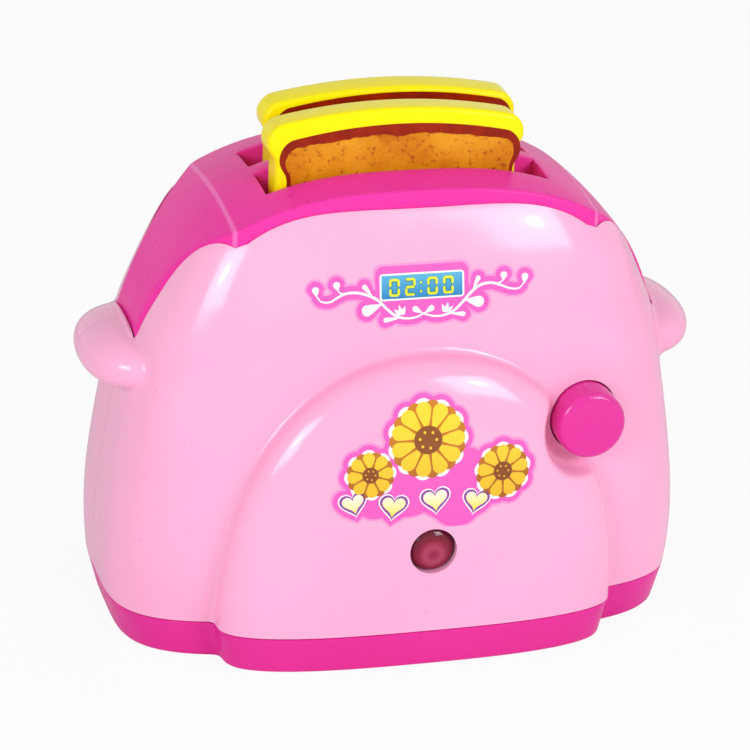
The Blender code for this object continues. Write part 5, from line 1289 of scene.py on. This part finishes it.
# %% Clock and leaf scroll
SCROLL_AREA = ((-27.0, 70.5), (24.5, 86.6))
STEMS = [
    ([(-22.95, 79.5), (-21.9, 78.25), (-20.1, 78.1), (-18.5, 78.95), (-16.75, 79.65), (-14.6, 79.7),
      (-12.3, 79.1), (-10.1, 77.9), (-8.2, 76.0), (-6.3, 74.5), (-4.1, 73.9), (-2.0, 74.05), (-0.5, 74.7),
      (0.75, 75.35)], 0.22, 0.55),
    ([(-1.75, 75.45), (-0.5, 74.7), (1.7, 74.05), (3.8, 74.1), (5.9, 74.9), (7.95, 76.7), (9.5, 78.35),
      (11.5, 79.75), (13.9, 80.1), (15.8, 79.55), (18.0, 78.7), (19.9, 78.6), (21.0, 79.6)], 0.22, 0.55),
    ([(-18.5, 80.3), (-17.8, 79.75), (-16.75, 79.6)], 0.2, 0.3),
    ([(16.55, 80.6), (15.9, 80.05), (15.0, 79.9)], 0.2, 0.3),
]
BUDS = [
    ((-22.9, 79.2), (-23.05, 80.5), 0.72), ((-18.45, 80.2), (-18.7, 81.35), 0.72),
    ((-11.2, 78.7), (-12.9, 80.75), 0.5), ((-9.2, 77.1), (-12.4, 75.95), 1.15),
    ((-5.0, 74.15), (-8.5, 73.8), 0.5), ((-0.7, 74.75), (-2.25, 75.7), 0.62),
    ((-0.3, 74.75), (1.15, 75.7), 0.62), ((4.8, 74.4), (7.9, 74.1), 0.5), ((8.2, 77.0), (11.2, 76.45), 1.15),
    ((9.95, 79.0), (11.15, 81.2), 0.5), ((16.6, 80.4), (16.65, 81.45), 0.72),
    ((21.05, 79.3), (21.25, 80.85), 0.72),
]
TULIPS = [(-5.2, 74.5, -0.22), (4.2, 74.5, 0.22)]


def tulip(x, z, lean, fat=0.0):
    """A small open flower of three petals on one foot."""
    petals = []
    for turn, reach in ((-0.62, 2.1), (0.0, 2.3), (0.62, 2.1)):
        a = pi / 2 + turn - lean
        tip = (x + reach * cos(a), z + reach * sin(a))
        petals.append(drop(tip, (x + 0.75 * cos(a), z + 0.75 * sin(a)), 0.5, fat, 14))
    return petals


def scroll(fat):
    shapes = [ribbon(points, thin, thick, fat) for points, thin, thick in STEMS]
    shapes += [drop(tip, middle, radius, fat) for tip, middle, radius in BUDS]
    for x, z, lean in TULIPS:
        shapes += tulip(x, z, lean, fat)
    return shapes


CLOCK_X, CLOCK_Z, CLOCK_WIDE, CLOCK_HIGH = -0.8, 80.4, 17.9, 5.4
UNDER_CLOCK = (("clock_halo", 1.55, 0.04, ink_blush), ("clock_backing", 1.1, 0.07, ink_magenta))
for name, fat, lift, made_of in UNDER_CLOCK:
    face = rounded_box(CLOCK_X, CLOCK_Z + 0.2, CLOCK_WIDE + 2 * fat - 0.4, CLOCK_HIGH + 2 * fat + 0.4, 1.6)
    middle = rounded_box(-0.5, 76.5, 17 + fat, 5 + fat, 1.0)
    decal(name, scroll(fat) + [face, middle], lift, made_of, SCROLL_AREA)
decal("clock_scroll", scroll(0.0), 0.11, ink_white, SCROLL_AREA)
border = rounded_box(CLOCK_X, CLOCK_Z, CLOCK_WIDE, CLOCK_HIGH, 0.7)
decal("clock_frame", [border], 0.13, ink_white, SCROLL_AREA)
glass = rounded_box(CLOCK_X, CLOCK_Z, CLOCK_WIDE - 0.8, CLOCK_HIGH - 0.7, 0.25)
decal("clock_face", [glass], 0.16, ink_blue, SCROLL_AREA)

# %% Clock digits
SEGMENTS = {"0": "abcdef", "2": "abged"}


def bar_of(part, x, z, wide, high, thick, gap):
    """One bar of a seven-bar digit, as a six-sided outline."""
    low, middle, top = z - high / 2, z, z + high / 2
    flat = {"a": top - thick / 2, "g": middle, "d": low + thick / 2}
    if part in flat:
        a, b, y = x - wide / 2 + gap, x + wide / 2 - gap, flat[part]
        return [(a, y), (a + thick / 2, y - thick / 2), (b - thick / 2, y - thick / 2), (b, y),
                (b - thick / 2, y + thick / 2), (a + thick / 2, y + thick / 2)]
    side = x + (wide / 2 - thick / 2) * (1 if part in "bc" else -1)
    a, b = (middle + gap, top - gap) if part in "bf" else (low + gap, middle - gap)
    return [(side, a), (side + thick / 2, a + thick / 2), (side + thick / 2, b - thick / 2), (side, b),
            (side - thick / 2, b - thick / 2), (side - thick / 2, a + thick / 2)]


def digit_bars(thick, gap):
    bars = []
    for digit, x in (("0", -6.65), ("2", -3.3), ("0", 1.4), ("0", 4.75)):
        bars += [bar_of(part, x, 80.3, 2.25, 3.6, thick, gap) for part in SEGMENTS[digit]]
    return bars + [rounded_box(-1.05, z, thick * 0.8, thick * 0.8, 0.08) for z in (79.3, 81.1)]


decal("clock_digit_shade", digit_bars(0.72, 0.02), 0.185, ink_teal, SCROLL_AREA)
decal("clock_digits", digit_bars(0.5, 0.16), 0.21, ink_lime, SCROLL_AREA)

# %% Flower picture
PICTURE_AREA = ((-24.5, 32.2), (25.5, 63.5))
ink_gold = ink("ink_gold", "#E2A80E", "#F6D22E", 38, 60, grain=0.5)
ink_amber = ink("ink_amber", "#9C4E06", "#C87A12", 38, 60, grain=0.4)
ink_bark = ink("ink_bark", "#7A3A04", "#8E4A08", 38, 60, grain=0.3)
ink_lemon = ink("ink_lemon", "#F8DE10", "#F4F0F2", 35.5, 41.5)
ink_violet = ink("ink_violet", "#8A3C9C", "#8E44A2", 30, 60)
FLOWERS = [(-1.6, 51.4, 8.8, 11, 0.0), (14.6, 43.4, 6.0, 9, 0.2), (-13.6, 44.6, 5.0, 8, 0.1)]
HEARTS = [(-17.0, 38.4, 2.7, 0.25), (-8.7, 37.4, 2.9, -0.12), (0.2, 38.2, 3.0, 0.1), (8.9, 37.3, 2.8, -0.2)]


def petals(x, z, radius, count, turn, fat=0.0, share=1.0):
    shapes = []
    for k in range(count):
        a = 2 * pi * k / count + turn
        far, wide = radius * share, 2.1 / count
        shapes.append(drop((x + 0.2 * radius * cos(a), z + 0.2 * radius * sin(a)),
                           (x + 0.74 * far * cos(a), z + 0.74 * far * sin(a)), wide * far, fat, 16))
    return shapes


def heart(x, z, size, lean, fat=0.0):
    outline = []
    for k in range(28):
        a = 2 * pi * k / 28
        px = sin(a) ** 3
        pz = (13 * cos(a) - 5 * cos(2 * a) - 2 * cos(3 * a) - cos(4 * a)) / 16 + 0.12
        reach = sqrt(px * px + pz * pz) + 1e-6
        px, pz = px * (size + fat / reach), pz * (size + fat / reach)
        outline.append((x + px * cos(lean) - pz * sin(lean), z + px * sin(lean) + pz * cos(lean)))
    return outline


def picture(fat):
    shapes = []
    for x, z, radius, count, turn in FLOWERS:
        shapes += [disc(x, z, radius * 0.8 + fat)] + petals(x, z, radius, count, turn, fat)
    return shapes + [heart(*numbers, fat) for numbers in HEARTS]


UNDER_PICTURE = (("picture_halo", 1.9, 0.04, ink_blush), ("picture_backing", 1.45, 0.07, ink_magenta))
FILL = ((-5.5, 42.0, 5.5), (5.5, 42.5, 5.5), (-12.5, 39.5, 3), (5.0, 37.5, 4))
for name, fat, lift, made_of in UNDER_PICTURE:
    fill = [disc(x, z, radius + fat) for x, z, radius in FILL]
    decal(name, picture(fat) + fill, lift, made_of, PICTURE_AREA)
lower = [shape for x, z, radius, count, turn in FLOWERS
         for shape in petals(x, z, radius, count, turn + pi / count)]
upper = [shape for flower in FLOWERS for shape in petals(*flower, share=0.96)]
centres = [disc(x, z, radius * 0.34) for x, z, radius, _, _ in FLOWERS]
seeds = [disc(x + radius * 0.2 * cos(k), z + radius * 0.2 * sin(k), radius * 0.035, 8)
         for x, z, radius, _, _ in FLOWERS for k in range(6)]
PRINTS = (
    ("border", picture(0.4), 0.1, ink_white), ("back_petals", lower, 0.125, ink_amber),
    ("petals", upper, 0.15, ink_gold), ("centres", centres, 0.175, ink_bark), ("seeds", seeds, 0.2, ink_gold),
    ("heart_lines", [heart(*numbers, 0.1) for numbers in HEARTS], 0.125, ink_violet),
    ("hearts", [heart(*numbers, -0.45) for numbers in HEARTS], 0.15, ink_lemon),
)
for name, shapes, lift, made_of in PRINTS:
    decal("picture_" + name, shapes, lift, made_of, PICTURE_AREA)

# %% [markdown]
# ## Pieces that stay as the frame has them
# The carriage, rods, springs, cells, contacts, switch, lamp and its board are hidden in the closed toy.
# Their shapes are right as packed, so they only get the finishes of their real materials.

# %% Finishes for the hidden pieces
spring_steel = metal("spring_steel", "#B9BDC4", "#8E929A", (0.18, 0.3))
tin = metal("tinned_strip", "#D6D4CC", "#BDBAB0", (0.25, 0.4))
white_plastic = plastic("carriage_white", "#EDEDE8", "#E2E2DC", gloss=(0.35, 0.45), peel=0.00004)
black_plastic = plastic("spacer_black", "#26262A", "#1C1C20", gloss=(0.4, 0.55), soft=0.0, peel=0.00004)
clear_resin = plastic("lamp_resin", "#F2F2EC", "#E6E6DE", gloss=(0.05, 0.1), soft=0.3)
board_green = plastic("board_green", "#1F6B35", "#18552A", gloss=(0.3, 0.45), soft=0.0, specks=0.6)


def cell_sleeve():
    """A printed sleeve in two plain colours: dark, with a copper band towards one end."""
    material, tree, place, shader = start_material("cell_sleeve")
    along = math_of(tree, "MULTIPLY_ADD", node_of(tree, "SeparateXYZ", {0: place}).outputs["X"], 20, 0.5)
    bands = [(0.0, "#A9ABAE"), (0.055, "#1E1E22"), (0.3, "#26262A"), (0.31, "#B4713A"),
             (0.94, "#1E1E22"), (0.95, "#A9ABAE")]
    plug(tree, shader, {
        "Base Color": ramp_of(tree, along, bands),
        "Roughness": ramp_of(tree, noise_of(tree, place, 300, 3), [(0.3, 0.25), (0.7, 0.4)]),
    })
    return material


sleeve = cell_sleeve()
FINISHES = (
    (white_plastic, "carriage"), (black_plastic, "switch_spacer"), (clear_resin, "led_lamp"),
    (board_green, "led_board"), (sleeve, "battery_1 battery_2"),
    (spring_steel, "lift_spring_left lift_spring_right latch_finger"),
    (tin, "contact_positive contact_negative contact_bridge switch_leaf_fixed switch_leaf_moving"),
    (steel, "guide_rod_left guide_rod_right latch_screw led_board_screw_1 led_board_screw_2 switch_screw"),
)
for made_of, nodes in FINISHES:
    for node in nodes.split():
        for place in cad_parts[node].material_slots:
            place.material = made_of
print("finished hidden pieces", sum(len(nodes.split()) for _, nodes in FINISHES))
